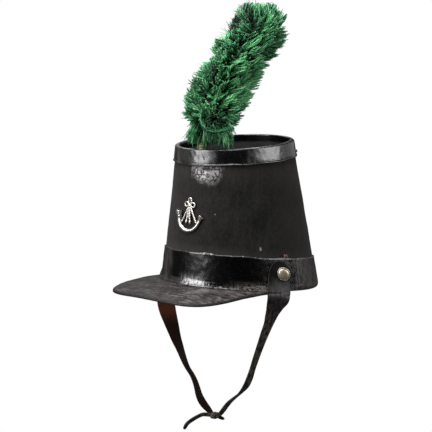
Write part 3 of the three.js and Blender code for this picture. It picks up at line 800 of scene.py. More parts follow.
@dataclass(frozen=True)
class PeakLeather(Finish):
    """Dull, worn leather with streaks along the peak, fine cracks, a dark bound edge and a painted sheen
    spot.
    """

    name: str = "worn_peak_leather"
    tones: tuple[tuple[float, Colour], ...] = (
        (0.28, (0.0065, 0.0054, 0.0053)), (0.44, (0.028, 0.0232, 0.0222)),
        (0.58, (0.068, 0.0572, 0.0552)), (0.76, (0.16, 0.14, 0.135)))
    crack: Colour = (0.008, 0.007, 0.007)
    bound: Colour = (0.0065, 0.0058, 0.0057)
    lining: Colour = (0.008, 0.0085, 0.0075)

    def draw(self, pen: Pen) -> bpy.types.Material:
        """The value "rim" is 1 on the bound edge, and "under" is 1 below.

        Args:
            pen: draws the nodes.

        Returns:
            The material.
        """
        p = pen.places()
        rim, under = pen.value("rim"), pen.value("under")
        along = pen.stretched(p, (0.45, 1, 1))
        streak = pen.noise(along, 230, 5, 0.66)
        broad = pen.noise(along, 55, 4, 0.62)
        left, back = pen.axis(p, 0), pen.axis(p, 1)
        # darker towards the front; a lighter, smoother painted sheen spot where the lamps' highlight falls
        front = left.step(26, -4)
        painted_sheen_spot = left.line(31, 3, 9) * back.line(-118, 4, 10)
        corner = left.step(44, 62)
        tone = streak * 1.5 + broad * 0.9 - 0.7 - front * 0.15 + painted_sheen_spot * 0.32 + corner * 0.06
        hide = pen.ramp(tone.clamped(), self.tones)
        cracks = pen.cells(pen.stretched(p, (0.6, 1, 1)), 420, "DISTANCE_TO_EDGE").step(0.08, 0.01)
        hide = pen.mix(cracks * 0.5, hide, self.crack)
        hide = pen.mix((rim * (0.55 + streak * 0.5)).clamped(), hide, self.bound)
        hide = pen.mix((under * 0.7).clamped(), hide, self.lining)
        rough = 0.58 + (streak - 0.5) * 0.5 - rim * 0.08 - painted_sheen_spot * 0.15
        relief = streak * 0.9 + broad * 1 - cracks * 0.5
        return pen.shader(
            Base_Color=hide, Roughness=rough.clamped(), Normal=pen.bump(relief, 0.7, 0.0006),
            Specular_IOR_Level=0.3)


@dataclass(frozen=True)
class StrapLeather(Finish):
    """Strap leather: black on the grain side, brown on the flesh side."""

    name: str = "strap_leather_finish"
    black: Colour = (0.0036, 0.0032, 0.0032)
    brown: Colour = (0.29, 0.092, 0.042)
    brown_low: Colour = (0.0125, 0.0052, 0.0032)
    dry: tuple[Colour, Colour] = ((0.016, 0.0132, 0.0112), (0.15, 0.13, 0.11))
    # grey of the painted sheen where the strap turns down below the tab
    bent: Colour = (0.07, 0.062, 0.065)
    rubbed: Colour = (0.06, 0.048, 0.042)
    soiled: Colour = (0.006, 0.004, 0.003)

    def draw(self, pen: Pen) -> bpy.types.Material:
        """The value "flesh" is 1 on the inner side, and "edge" is 1 at the cut edges.

        Args:
            pen: draws the nodes.

        Returns:
            The material.
        """
        p = pen.places()
        flesh, edge = pen.value("flesh"), pen.value("edge")
        down = 0 - pen.axis(p, 2)
        mottle = pen.noise(p, 190, 5, 0.62)
        fibre = pen.noise(pen.upright(p, 0.3), 700, 3)
        grain = pen.mix(mottle.step(0.35, 0.72), self.black, [c * 1.9 for c in self.black])
        creased = pen.noise(pen.upright(p, 0.22), 330, 5, 0.65)
        dry = pen.mix(creased.step(0.4, 0.64), *self.dry)
        grain = pen.mix(down.step(6, 34) * 0.9, grain, dry)
        # painted sheen: a pale grey band, broken by creases, just below the tab
        painted_bend_sheen = (down + (mottle - 0.5) * 30).line(9, 5, 9) * creased.step(0.34, 0.6)
        grain = pen.mix(painted_bend_sheen * 0.8, grain, self.bent)
        rubbed = (edge + (mottle - 0.5) * 1.5).step(0.55, 1.1)
        grain = pen.mix(rubbed * 0.35, grain, self.rubbed)
        tan = pen.mix(down.step(15, 62), self.brown, self.brown_low)
        raw = pen.mix(fibre.step(0.3, 0.75) * 0.35, tan, [c * 1.7 for c in self.brown_low])
        raw = pen.mix(mottle.step(0.5, 0.8) * 0.5, raw, self.soiled)
        raw = pen.mix(down.step(3, -3) * 0.9, raw, self.black)
        colour = pen.mix(flesh, grain, raw)
        relief = mottle * 0.8 + fibre * flesh * 0.6 + pen.cells(p, 850) * 0.3
        rough = 0.4 + (mottle - 0.5) * 0.3 + flesh * 0.4 + down.step(2, 30) * 0.15
        gloss = (1 - flesh * 0.8) * (down + (mottle - 0.5) * 16).step(-16, -4) * 0.42
        return pen.shader(
            Base_Color=colour, Roughness=rough.clamped(), Normal=pen.bump(relief, 0.4, 0.0003),
            Specular_IOR_Level=0.07, Coat_Weight=(gloss + edge * 0.2).clamped(), Coat_Roughness=0.42)


@dataclass(frozen=True)
class Metal(Finish):
    """Worn metal: light where it is rubbed, dark where dirt stays."""

    name: str
    bright: Colour
    dirt: Colour
    shine: float = 1.0
    roughness: float = 0.3
    dirt_at: str = "deep"

    def draw(self, pen: Pen) -> bpy.types.Material:
        """The value named in dirt_at is 1 where dirt stays.

        Args:
            pen: draws the nodes.

        Returns:
            The material.
        """
        p = pen.places()
        deep = pen.value(self.dirt_at)
        grime = pen.noise(p, 420, 4, 0.6)
        lines = pen.noise(pen.stretched(p, (0.2, 1, 1)), 2200, 2)
        dark = (deep + (grime - 0.5) * 1.1).step(0.35, 1)
        colour = pen.mix(dark, self.bright, self.dirt)
        rough = self.roughness + dark * 0.22 + (grime - 0.5) * 0.3
        bare = self.shine - dark * 0.35
        relief = grime * 0.7 + lines * 0.3
        return pen.shader(
            Base_Color=colour, Metallic=bare.clamped(), Roughness=rough.clamped(),
            Normal=pen.bump(relief, 0.4, 0.00015))


@dataclass(frozen=True)
class Wool(Finish):
    """Dyed wool yarn: each strand has its own shade, and the wool is painted darker towards the tuft's
    middle as shade.
    """

    name: str = "green_wool"
    dark: Colour = (0.0007, 0.005, 0.0018)
    middle: Colour = (0.024, 0.215, 0.075)
    light: Colour = (0.26, 0.72, 0.34)

    def draw(self, pen: Pen) -> bpy.types.Material:
        """The value "shade" is the strand's own, lowered on one side as painted shade;
        "out" is 0 at the core, 1 at the outline, and a low out paints shade.

        Args:
            pen: draws the nodes.

        Returns:
            The material.
        """
        p = pen.places()
        shade, out = pen.value("shade"), pen.value("out")
        cloud = pen.noise(p, 60, 3)
        twist = pen.noise(p, 1500, 2)
        high = pen.axis(p, 2)
        # painted shade where out is low, deep in the tuft; the wool is also darker at the foot and the
        # head
        foot, head = high.step(196, 170), high.step(262, 292)
        tone = out * 0.4 + shade + (cloud - 0.5) * 0.45 + (twist - 0.5) * 0.3 - 0.12
        tone = tone - foot * 0.08 - head * 0.22
        colour = pen.ramp(tone.clamped(), [(0.16, self.dark), (0.5, self.middle), (0.98, self.light)])
        return pen.shader(
            Base_Color=colour, Roughness=0.7, Normal=pen.bump(twist, 0.4, 0.0003),
            Sheen_Weight=0.15, Sheen_Roughness=0.4, Specular_IOR_Level=0.4)


@dataclass(frozen=True)
class Thread(Finish):
    """Linen thread with darker fibres, and painted shade where it is sunk."""

    name: str
    colour: Colour
    dark_fibres_and_shade: Colour

    def draw(self, pen: Pen) -> bpy.types.Material:
        """The value "deep" is 1 between the turns, where it paints shade.

        Args:
            pen: draws the nodes.

        Returns:
            The material.
        """
        p = pen.places()
        fibre = pen.noise(pen.upright(p, 0.25), 1300, 3)
        dark = (pen.value("deep") * 0.8 + (fibre - 0.5) * 1.2).clamped()
        colour = pen.mix(dark, self.colour, self.dark_fibres_and_shade)
        return pen.shader(Base_Color=colour, Roughness=0.8, Normal=pen.bump(fibre, 0.6, 0.0003))


# ---------- crown
@dataclass(frozen=True)
class CrownForm:
    """The crown's nominal surface: straight lines from an oval rim to a smaller, tilted oval top."""

    rim_length: float = 101.3
    rim_width: float = 85.2
    top_length: float = 72.7
    top_width: float = 62.2
    top_forward: float = 35.2
    top_height: float = 160.1
    top_tilt: float = math.radians(10.7)
    felt_face: float = -0.7

    @property
    def length_lost(self) -> float:
        """How much smaller the top's half length is."""
        return self.rim_length - self.top_length

    @property
    def width_lost(self) -> float:
        """How much smaller the top's half width is."""
        return self.rim_width - self.top_width

    def top(self, theta: Array) -> Array:
        """The top oval, tilted: cos and sin of the angle times its half length and width.

        Args:
            theta: angle from the front towards the wearer's left, in radians.

        Returns:
            Places, with x, y, z on the last axis.
        """
        along, across = self.top_length * np.cos(theta), self.top_width * np.sin(theta)
        back = -self.top_forward - along * math.cos(self.top_tilt)
        return np.stack([across, back, self.top_height - along * math.sin(self.top_tilt)], -1)

    def wall(self, theta: Array, share: Array, out: Array | float) -> Array:
        """Places on the wall: rim + share (top - rim) + out times the level outward direction.

        Args:
            theta: angle from the front, in radians.
            share: 0 at the rim and 1 at the top.
            out: how far the place stands out, in millimetres.

        Returns:
            Places, with x, y, z on the last axis.
        """
        theta, share, out = np.broadcast_arrays(theta, share, out)
        rim = np.stack([self.rim_width * np.sin(theta), -self.rim_length * np.cos(theta), 0 * theta], -1)
        half_length = self.rim_length + (self.top_length - self.rim_length) * share
        half_width = self.rim_width + (self.top_width - self.rim_width) * share
        away = unit(np.stack([np.sin(theta) / half_width, -np.cos(theta) / half_length, 0 * theta], -1))
        return rim + (self.top(theta) - rim) * share[..., None] + out[..., None] * away

    def above(self, theta: Array, rise: Array | float) -> Array:
        """The share that lies rise above the rim."""
        return rise / self.top(theta)[..., 2]

    def below(self, theta: Array, drop: Array | float) -> Array:
        """The share that lies drop below the top."""
        return 1.0 - drop / self.top(theta)[..., 2]

    def bent(self, skin: Surface, theta: float, rise: float, out: float) -> Surface:
        """Lays a flat skin on the wall: its x runs round the wall, y up it and z off it.

        Args:
            skin: the flat skin.
            theta: angle of its middle, in radians.
            rise: height of its middle above the rim.
            out: how far its z = 0 stands off.

        Returns:
            The same skin.
        """
        x, y, z = skin.places.T
        reach = self.rim_width + (self.top_width - self.rim_width) * rise / self.top_height
        angle = theta + x / reach
        skin.places = self.wall(angle, self.above(angle, rise + y), out + z)
        return skin.outwards()

    def set_on(self, skin: Surface, theta: float, share: float, out: float) -> Surface:
        """Stands a turned skin straight out of the wall, its axis square to it.

        Args:
            skin: a skin turned about z.
            theta: angle of its axis, in radians.
            share: its height as a share of the wall's.
            out: how far its z = 0 stands off.

        Returns:
            The same skin.
        """
        t, s, e = np.array(theta), np.array(share), 1e-3
        up = unit(self.wall(t, s + e, out) - self.wall(t, s - e, out))
        around = unit(self.wall(t + e, s, out) - self.wall(t - e, s, out))
        frame = np.stack([around, up, np.cross(around, up)])
        skin.places = skin.places @ frame + self.wall(t, s, out)
        return skin.outwards()


def ring_angles(count: int, seams: Sequence[float] = ()) -> Array:
    """Angles round the crown, with extra ones close to each seam.

    Args:
        count: how many even steps.
        seams: angles in degrees.

    Returns:
        (n, 1) angles in radians.
    """
    even = np.linspace(-180.0, 180.0, count, endpoint=False)
    near = [seam + np.linspace(-0.5, 0.9, 13) for seam in seams]
    return np.radians(np.unique(np.concatenate([even, *near])))[:, None]


def lap(theta: Array, seam: float, length: float) -> Array:
    """1 just past a seam and back to 0 over a length, both in degrees: an end laid over."""
    degrees = np.degrees(theta)
    return smooth(degrees, seam, seam + 0.25) * (1.0 - smooth(degrees, seam + length * 0.4, seam + length))


@dataclass
class Crown:
    """The felt wall, the sunken leather top, the two bands and the stud."""

    form: CrownForm = CrownForm()
    felt_rise: float = 5.8
    felt_drop: float = 1.7
    felt_out: tuple[float, float] = (-0.7, -3.1)
    band_tall: float = 36.6
    flare_full: float = 60.1
    flare_gone: float = 65.9
    top_seam: float = 5.0
    lower_seam: float = 84.3
    felt_columns: int = 320
    top_columns: int = 200
    band_columns: int = 420
    rim_columns: int = 560
    stud_angle: float = math.radians(130)
    stud_drop: float = 13.5
    darns: tuple[tuple[float, float], ...] = ((73.6, 0.9), (74.8, -0.7), (76.1, 0.6))

    def felt(self) -> Surface:
        """A closed wall: the outline runs up the outside and down the inside, 2.4 mm apart,
        and low waves of 0.25 mm move both sides together where no band covers them.

        Returns:
            A closed skin.
        """
        theta = ring_angles(self.felt_columns)
        outer, inner = self.felt_out
        tall = 160.0
        loop = rounded_loop([(0, outer), (tall, outer), (tall, inner), (0, inner)], 0.7, 2.4)
        low, high = self.form.above(theta, self.felt_rise), self.form.below(theta, self.felt_drop)
        level = loop[None, :, 0] / tall
        share = low + (high - low) * level
        base = self.form.wall(theta, share, 0.0)
        shown = smooth(level, 0.2, 0.3) * (1.0 - smooth(level, 0.84, 0.9))
        waves = 0.22 * ripple(base, 42.0, 3) + 0.06 * ripple(base, 9.0, 4)
        return lofted(self.form.wall(theta, share, loop[None, :, 1] + waves * shown), True)

    def top(self) -> Surface:
        """Rings from the middle of the under side out to the edge and back over the upper
        side: place = middle + r (edge - middle), sagging by 1.6 (1 - r^2).

        Returns:
            A closed skin.
        """
        theta = ring_angles(self.top_columns)[:, 0][None, :]
        steps, hole = 34, 0.03
        r = np.concatenate([np.linspace(hole, 1.0, steps), np.linspace(1.0, hole, steps)])[:, None]
        under, lip, over = 9.0, 8.5, 7.0
        drop = np.concatenate([np.full(steps - 1, under), [lip], np.full(steps, over)])[:, None]
        edge = self.form.wall(theta, self.form.below(theta, drop), -5.1)
        middle = edge.mean(1, keepdims=True)
        rings = middle + r[..., None] * (edge - middle)
        rings[..., 2] += -1.6 * (1 - r**2) + 0.35 * ripple(rings * [1, 1, 0], 26.0, 5) * (1 - r**4)
        return lofted(rings, False, {"edge": 0.5 * smooth(r, 0.93, 1.0) + 0 * theta})

    def top_band(self) -> Surface:
        """A leather strip over the felt's upper edge: outside it ends in a fine bead over a
        groove, inside it is turned down; past the seam its end lies over its start.

        Returns:
            A closed skin.
        """
        theta = ring_angles(self.band_columns, [self.top_seam])
        loop = rounded_loop([(18.0, 1.1), (17.2, 1.65), (16.3, 1.5), (15.7, 0.75), (14.4, 0.9),
                             (1.1, 0.95), (0.1, -0.4), (0.1, -3.4), (1.1, -4.7), (12, -4.7),
                             (12, -3.4), (1.4, -3.4), (1.4, -0.4), (18.0, -0.35)], 0.6, 1.1)
        drop, out = loop[None, :, 0], loop[None, :, 1]
        base = self.form.wall(theta, self.form.below(theta, drop), 0.0)
        outside = smooth(out, -0.35, 0.6)
        waves = 0.5 * lap(theta, self.top_seam, 26.0) + 0.16 * ripple(base, 34.0, 7)
        out = out + outside * (waves + 0.07 * ripple(base, 8.0, 8))
        inside = smooth(-out, 4.2, 4.6)
        drop = drop + 0.35 * ripple(base, 30.0, 9) * smooth(drop, 13.0, 17.0)
        out = out + inside * 0.2 * ripple(base, 22.0, 10)
        edge = (hump(loop[None, :, 0], 17.3, 1.6) * 0.9 + hump(loop[None, :, 0], 0.6, 1.6)) * (out > -1.0)
        values = {"edge": edge + 0 * theta, "inside": smooth(-out, 2.6, 4.2) + 0 * theta}
        return lofted(self.form.wall(theta, self.form.below(theta, drop), out), True, values)

    def lower_section(self) -> tuple[Array, Array, Array]:
        """The lower band's outline, once rolled under the rim and once flared over the peak.

        The rolled end is a quarter circle of radius 6 outside and 4.7 inside; the flared
        end leans out by 2.4 over its last 7 of height.

        Returns:
            (n, 2) rolled rise and out, (n, 2) flared rise and out, (n,) closeness to an edge.
        """
        q = np.linspace(0, 1, 12)
        arc = np.radians(90 * q)
        rise, out, outside, inside = 6, -5.1, 6, 4.7
        outer_roll = np.stack([rise - outside * np.sin(arc), out + outside * np.cos(arc)], -1)
        inner_roll = np.stack([rise - inside * np.sin(arc), out + inside * np.cos(arc)], -1)[::-1]
        outer_flare = np.stack([7 - 6.6 * q, 1.0 + 2.5 * q**1.6], -1)
        inner_flare = np.stack([7 - 6.6 * q, -0.3 + 2.3 * q**1.6], -1)[::-1]
        tip = np.array([(36.1, 0.9), (36.5, 0.7), (36.6, 0.3), (36.5, -0.2), (36.1, -0.4)])
        run = np.linspace(0, 1, 26)[1:, None]

        def closed(outer: Array, inner: Array) -> Array:
            """Joins tip, outer side, lower end and inner side into one outline.

            Args:
                outer: (n, 2) the outer side's lower end, downwards.
                inner: (n, 2) the inner side's lower end, upwards.

            Returns:
                (m, 2) points.
            """
            down = tip[0] + (outer[0] - tip[0]) * run
            up = inner[-1] + (tip[-1] - inner[-1]) * run
            return np.concatenate([tip[:1], down, outer[1:], inner, up[:-1], tip[:0:-1]])

        rolled, flared = closed(outer_roll, inner_roll), closed(outer_flare, inner_flare)
        return rolled, flared, hump(rolled[:, 0], 36.3, 2.2) * (rolled[:, 1] > -1)

    def lower_band(self) -> Surface:
        """Goes between the rolled and the flared outline near the peak's ends, with small
        puckers where it is sewn down over the peak, and laps over itself at its seam.

        Returns:
            A closed skin.
        """
        theta = ring_angles(self.rim_columns, [self.lower_seam])
        rolled, flared, edge = self.lower_section()
        degrees = np.degrees(theta)
        flare = 1.0 - smooth(np.abs(degrees), self.flare_full, self.flare_gone)
        rise = rolled[None, :, 0] * (1 - flare) + flared[None, :, 0] * flare
        out = rolled[None, :, 1] * (1 - flare) + flared[None, :, 1] * flare
        base = self.form.wall(theta, self.form.above(theta, rise), 0.0)
        low = flare * (1.0 - smooth(rise, 0.5, 8.5))
        rim, stitch = 95.0, 3.3
        pucker = 0.26 * np.cos(theta * rim / stitch * 2 * np.pi) * (0.6 + 0.5 * ripple(base, 12.0, 14))
        upper = smooth(rise, 6.0, 9.0) * smooth(rolled[None, :, 1], -0.4, 0.5)
        waves = 0.13 * ripple(base, 36.0, 12) + 0.05 * ripple(base, 8.0, 13)
        out = out + low * (pucker + 0.15 * ripple(base, 5.0, 15)) + upper * waves
        out = out + 0.45 * lap(theta, self.lower_seam, 24.0) * smooth(rolled[None, :, 1], -0.4, 0.5)
        rise = rise + 0.45 * ripple(base, 24.0, 16) * smooth(rise, 33.5, 36.4)
        lips = {"edge": np.clip(edge[None, :] * 0.95 + 0.75 * low, 0, 1)}
        return lofted(self.form.wall(theta, self.form.above(theta, rise), out), True, lips)

    def stud(self) -> Surface:
        """A low dome: a quarter of an oval turned about the line out of the wall.

        Returns:
            A closed skin.
        """
        q = np.radians(np.linspace(0, 90, 10))
        radius, foot, stands_off = 1.9, -0.1, 1.25
        dome = np.stack([radius * np.cos(q), 0.35 + 0.95 * np.sin(q)], -1)
        profile = np.concatenate([[[0, foot], [1.6, foot], [radius, 0.1]], dome])
        share = float(self.form.below(np.array(self.stud_angle), self.stud_drop))
        return self.form.set_on(turned(profile, 24), self.stud_angle, share, stands_off)

    def darn(self) -> Surface:
        """Three short brown stitches over the lower band's upper edge, each a bowed thread:
        height runs from 36.4 to 40.6 while it stands out as half a sine wave.

        Returns:
            A closed skin.
        """
        t = np.linspace(0, 1, 12)
        radius = np.full(len(t), 0.42)
        stitches = []
        for angle, lean in self.darns:
            theta = np.radians(angle + lean * (t - 0.5))
            share, out = self.form.above(theta, 36.4 + 4.2 * t), 1.0 + 1.15 * np.sin(np.pi * t)
            stitches.append(tube(self.form.wall(theta, share, out), radius, 8))
        return Surface.join(stitches)

    def build(self) -> None:
        """Makes and dresses the crown's pieces."""
        never = 400.0
        band = BandLeather("upper_band_leather", seam=self.top_seam, seam_low=100.0, chips_at=149.3,
                           dull_from=128.0, nick=(10.6, 137.1))
        flat = BandLeather("top_leather", seam=never, seam_low=0.0, chips_at=0.0, dull_from=never,
                           dull_before=-never, polish=0.008, smoothness=0.4, dust=0.45)
        low = BandLeather("lower_band_leather", seam=self.lower_seam, seam_low=-5.0, chips_at=36.8,
                          wear=Wear.HARD, dull_from=80.5, dull_over=5.0, polish=0.6, smoothness=0.15)
        lacquer = Metal("black_lacquer", (0.02, 0.02, 0.02), (0.06, 0.055, 0.05), 0.2, 0.35, "radius")
        mending = Thread("brown_thread", (0.24, 0.12, 0.095), (0.09, 0.045, 0.035))
        make_piece("felt_wall", self.felt(), Felt(), "felt", ["crown_body"])
        make_piece("leather_top", self.top(), flat, "band_leather", ["crown_top"])
        make_piece("upper_band", self.top_band(), band, "band_leather", ["top_band"])
        make_piece("rim_band", self.lower_band(), low, "band_leather", ["lower_band"])
        make_piece("darn_stitches", self.darn(), mending, "felt")
        make_piece("side_stud", self.stud(), lacquer, "dark_metal", ["band_stud"])


# ---------- peak
@dataclass
class Peak:
    """The stiff leather peak: a ruled skin from its sewn root to a squared outer edge."""

    form: CrownForm = CrownForm()
    half_angle: float = math.radians(57.2)
    thick: float = 2.2
    end_half_width: float = 75.7
    front_half_width: float = 70.4
    end_forward: float = 55.6
    front_forward: float = 167.8
    side_power: float = 4.9
    front_power: float = 4.3
    drop_middle: float = 9.8
    drop_corner: float = 12.2
    bead: float = 0.4
    groove: float = 3.1
    stitch_pitch: float = 3.0
    columns: int = 340

    def edge(self, run: Array) -> Array:
        """The outer edge: a superellipse of two powers, across = sin^(2/p) and forward =
        cos^(2/q), dropping by forward^1.6.

        Args:
            run: from -1 at one end of the peak to 1 at the other.

        Returns:
            Places, with x, y, z on the last axis.
        """
        side = np.abs(run)
        eased = side**2.4 / (side**2.4 + (1 - side) ** 2.15)
        angle = np.pi / 2 * eased
        across = np.sign(run) * np.sin(angle) ** (2 / self.side_power)
        forward = np.clip(np.cos(angle), 0, 1) ** (2 / self.front_power)
        half = self.end_half_width + (self.front_half_width - self.end_half_width) * forward
        drop = self.drop_middle + (self.drop_corner - self.drop_middle) * across**2
        reach = self.end_forward + (self.front_forward - self.end_forward) * forward
        return np.stack([half * across, -reach, -drop * forward**1.6 - 0.1], -1)

    def lip(self, run: Array) -> Array:
        """The line where the upper side comes out from under the band."""
        theta = self.half_angle * run
        return self.form.wall(theta, 0 * theta, 3.4)

    def upper(self, run: Array, inset: Array) -> Array:
        """Places on the upper side, inset from the edge: level run and a height that
        falls with the 1.5th power of the way out.

        Args:
            run: (n, 1) from -1 to 1.
            inset: (n, m) distance from the outer edge.

        Returns:
            (n, m, 3) places.
        """
        lip, edge = self.lip(run), self.edge(run)
        length = np.linalg.norm(edge - lip, axis=-1)
        share = np.clip(1.0 - inset / np.maximum(length, 1e-6), 0, 1)[..., None]
        places = lip + (edge - lip) * share
        places[..., 2] = (lip[..., 2:] + (edge[..., 2:] - lip[..., 2:]) * share**1.5)[..., 0]
        waves = 0.35 * ripple(places, 40.0, 21) + 0.07 * ripple(places, 9.0, 22)
        places[..., 2] += waves * (share * (1 - 0.6 * share))[..., 0] * smooth(length, 5, 30)
        return places

    def skin(self) -> Surface:
        """Closed outlines across the peak: the upper side, the rounded bound edge, the
        lower side and the root inside the band.

        Returns:
            A closed skin.
        """
        run = np.linspace(-1, 1, self.columns)[:, None]
        length = np.linalg.norm(self.edge(run) - self.lip(run), axis=-1)
        full_length = 14.0
        scale = np.minimum(1.0, length / full_length)
        rim = np.array([5.2, 4.4, 3.8, 3.4, 3.0, 2.6, 2.1, 1.5, 0.9, 0.45, 0.15, 0.0])[None, :]
        rest = np.linspace(1, 0, 40, endpoint=False)[None, :]
        bound = rim * scale
        inset = np.concatenate([bound[:, :1] + (length - bound[:, :1]) * rest, bound], 1)
        plain = inset / np.maximum(scale, 1e-6)
        half_bead = 1.4
        arch = np.sqrt(np.clip(1 - ((plain - half_bead) / half_bead) ** 2, 0, 1))
        raised = (self.bead * arch - 0.28 * hump(plain, self.groove, 0.7)) * scale
        tuck = 1.2 * (1 - np.sqrt(np.clip(1 - (1 - np.clip(plain / 0.9, 0, 1)) ** 2, 0, 1))) * scale
        top = self.upper(run, inset)
        low = top.copy()
        top[..., 2] += raised - tuck * 0.75
        low[..., 2] += -self.thick - raised * 0.8 + tuck * 0.75
        theta = self.half_angle * run
        high, outer, inner = 5.4, -0.95, -2.9
        root = [self.form.wall(theta, self.form.above(theta, rise), out)
                for rise, out in ((high, outer), (0.0, outer), (-self.thick, inner), (high, inner))]
        rings = np.concatenate([root[0], root[1], top, low[:, ::-1], root[2], root[3]], 1)
        rim_value = smooth(-plain, -3.0, -2.4)
        blank = np.zeros((self.columns, 2))
        rim_all = np.concatenate([blank, rim_value, rim_value[:, ::-1], blank], 1)
        under = np.concatenate([blank, 0 * plain, 0 * plain + 1, blank + 1], 1)
        skin = lofted(rings, False, {"rim": rim_all, "under": under})
        for n, end in ((-2, -1.0), (-1, 1.0)):
            at = np.array(self.half_angle * end)
            skin.places[n] = self.form.wall(at, self.form.above(at, -1.1), -1.9)
        return skin.outwards()

    def stitches(self) -> Surface:
        """Short thread stitches in the groove inside the bound edge, 3 mm apart: each is a
        flattened oval, half sunk in the leather.

        Returns:
            A closed skin.
        """
        steps, ends, half_length = 4000, 2.0, 0.95
        fine = np.linspace(-0.93, 0.93, steps)[:, None]
        line = self.upper(fine, np.full((steps, 1), self.groove))[:, 0]
        way = travelled(line)
        marks = np.arange(ends, way[-1] - ends, self.stitch_pitch)
        at = np.interp(marks, way, np.arange(steps)).astype(int)
        here, reach = line[at], 8
        along = unit(line[np.minimum(at + reach, steps - 1)] - line[np.maximum(at - reach, 0)])
        t = np.array([-1.0, -0.6, 0.0, 0.6, 1.0])
        a = circle(6)
        size = np.array([0.1, 0.24, 0.28, 0.24, 0.1])
        side = unit(np.cross(along, [0, 0, 1.0]))
        up = np.cross(side, along)
        rings = (here[:, None, None] + along[:, None, None] * (t * half_length)[None, :, None, None]
                 + side[:, None, None] * (size[:, None] * np.cos(a))[None, ..., None]
                 + up[:, None, None] * (size[:, None] * np.sin(a) - 0.12)[None, ..., None])
        return Surface.join([lofted(r, False) for r in rings])

    def build(self) -> None:
        """Makes and dresses the peak."""
        make_piece("peak_leather", self.skin(), PeakLeather(), "peak_leather", ["peak"])
        thread = Thread("black_thread", (0.03, 0.027, 0.026), (0.008, 0.007, 0.007))
        make_piece("peak_stitches", self.stitches(), thread, "peak_leather")


# ---------- chin strap
# Rows of x, y, z, width, and the width's turn and tip in degrees, from the tab down.
LEFT_ROWS = np.array([
    (81.6, -44.9, -5, 28.6, 66, -8), (80.4, -44, -10, 27, 67, -7),
    (78.1, -42.4, -14, 25, 68, -4), (74.8, -40.4, -18.8, 22.8, 72, -1),
    (70.5, -38.7, -26.9, 19.2, 76, 0), (67.2, -37.5, -35.2, 15.5, 76, -1),
    (63.9, -36.8, -43.5, 13.5, 75, -1), (57.7, -35.3, -60.2, 10.5, 74, -1),
    (51.9, -34, -77.1, 9.2, 75, -1), (46.8, -32.8, -93.9, 8.6, 74, -1),
    (44.2, -32.2, -102.3, 8.6, 68, -4), (40, -31.4, -111.5, 8.6, 70, -5),
    (32.5, -29.6, -121, 8.6, 84, 6), (24.5, -27.8, -127.9, 8.6, 83, 7),
    (16.5, -26, -134.9, 8.4, 79, 1), (10.5, -24.8, -142.1, 8.2, 76, -2),
    (5.2, -23.6, -149.2, 7.2, 76, -12), (0.8, -22.8, -154, 5.6, 80, -38),
    (-4, -22.4, -156.8, 4.4, 88, -74), (-10, -22.4, -157.2, 4.4, 92, -78),
    (-14.6, -24.5, -157.3, 5.2, 110, -62), (-18.9, -27.7, -157.6, 6.2, 117, -48),
    (-22.6, -30.2, -159.8, 6.8, 106, -36), (-27.9, -34.6, -164.4, 7, 100, -33),
    (-32.6, -38.6, -169.8, 6.4, 93, -26), (-35, -40.4, -176.2, 5, 86, -18)], float)
RIGHT_ROWS = np.array([
    (-81.4, -41, -6, 29, 109, 1), (-80.9, -40.6, -14, 28, 98, 2),
    (-79.6, -39.9, -24, 26, 84, 4), (-77.4, -39.2, -35, 23.5, 72, 8),
    (-74.1, -38.7, -44.6, 20.5, 63, 13), (-70.8, -37.8, -52.5, 18.3, 61, 16),
    (-67.5, -36.8, -60.4, 16.4, 60, 17), (-64.2, -35.9, -68.2, 14.4, 62, 17),
    (-60.8, -34.9, -76.1, 12.6, 66, 18), (-56.8, -33.8, -83.8, 10.8, 70, 17),
    (-53.2, -32.7, -91.6, 9.6, 78, 13), (-49.4, -31.6, -99.3, 9, 86, 10),
    (-44.9, -30.3, -106.8, 9, 97, 6), (-38.9, -28.6, -114.2, 9, 98, 6),
    (-34.4, -27.3, -121.8, 9, 92, 7), (-31.2, -26.2, -129.6, 9, 84, 9),
    (-28.5, -24.9, -137.5, 9, 73, 18), (-24.6, -22.6, -145, 9, 66, 34),
    (-17.8, -19.8, -152.2, 7.2, 73, 50), (-11.4, -18.7, -156.7, 4.4, 85, 76),
    (-4.5, -18.6, -157.6, 4.4, 88, 78), (-0.6, -17.4, -158.9, 4.2, 95, 62),
    (2.6, -14.6, -160.4, 2.6, 105, 42)], float)


class Side(Enum):
    """The wearer's two sides."""

    LEFT = 1
    RIGHT = -1


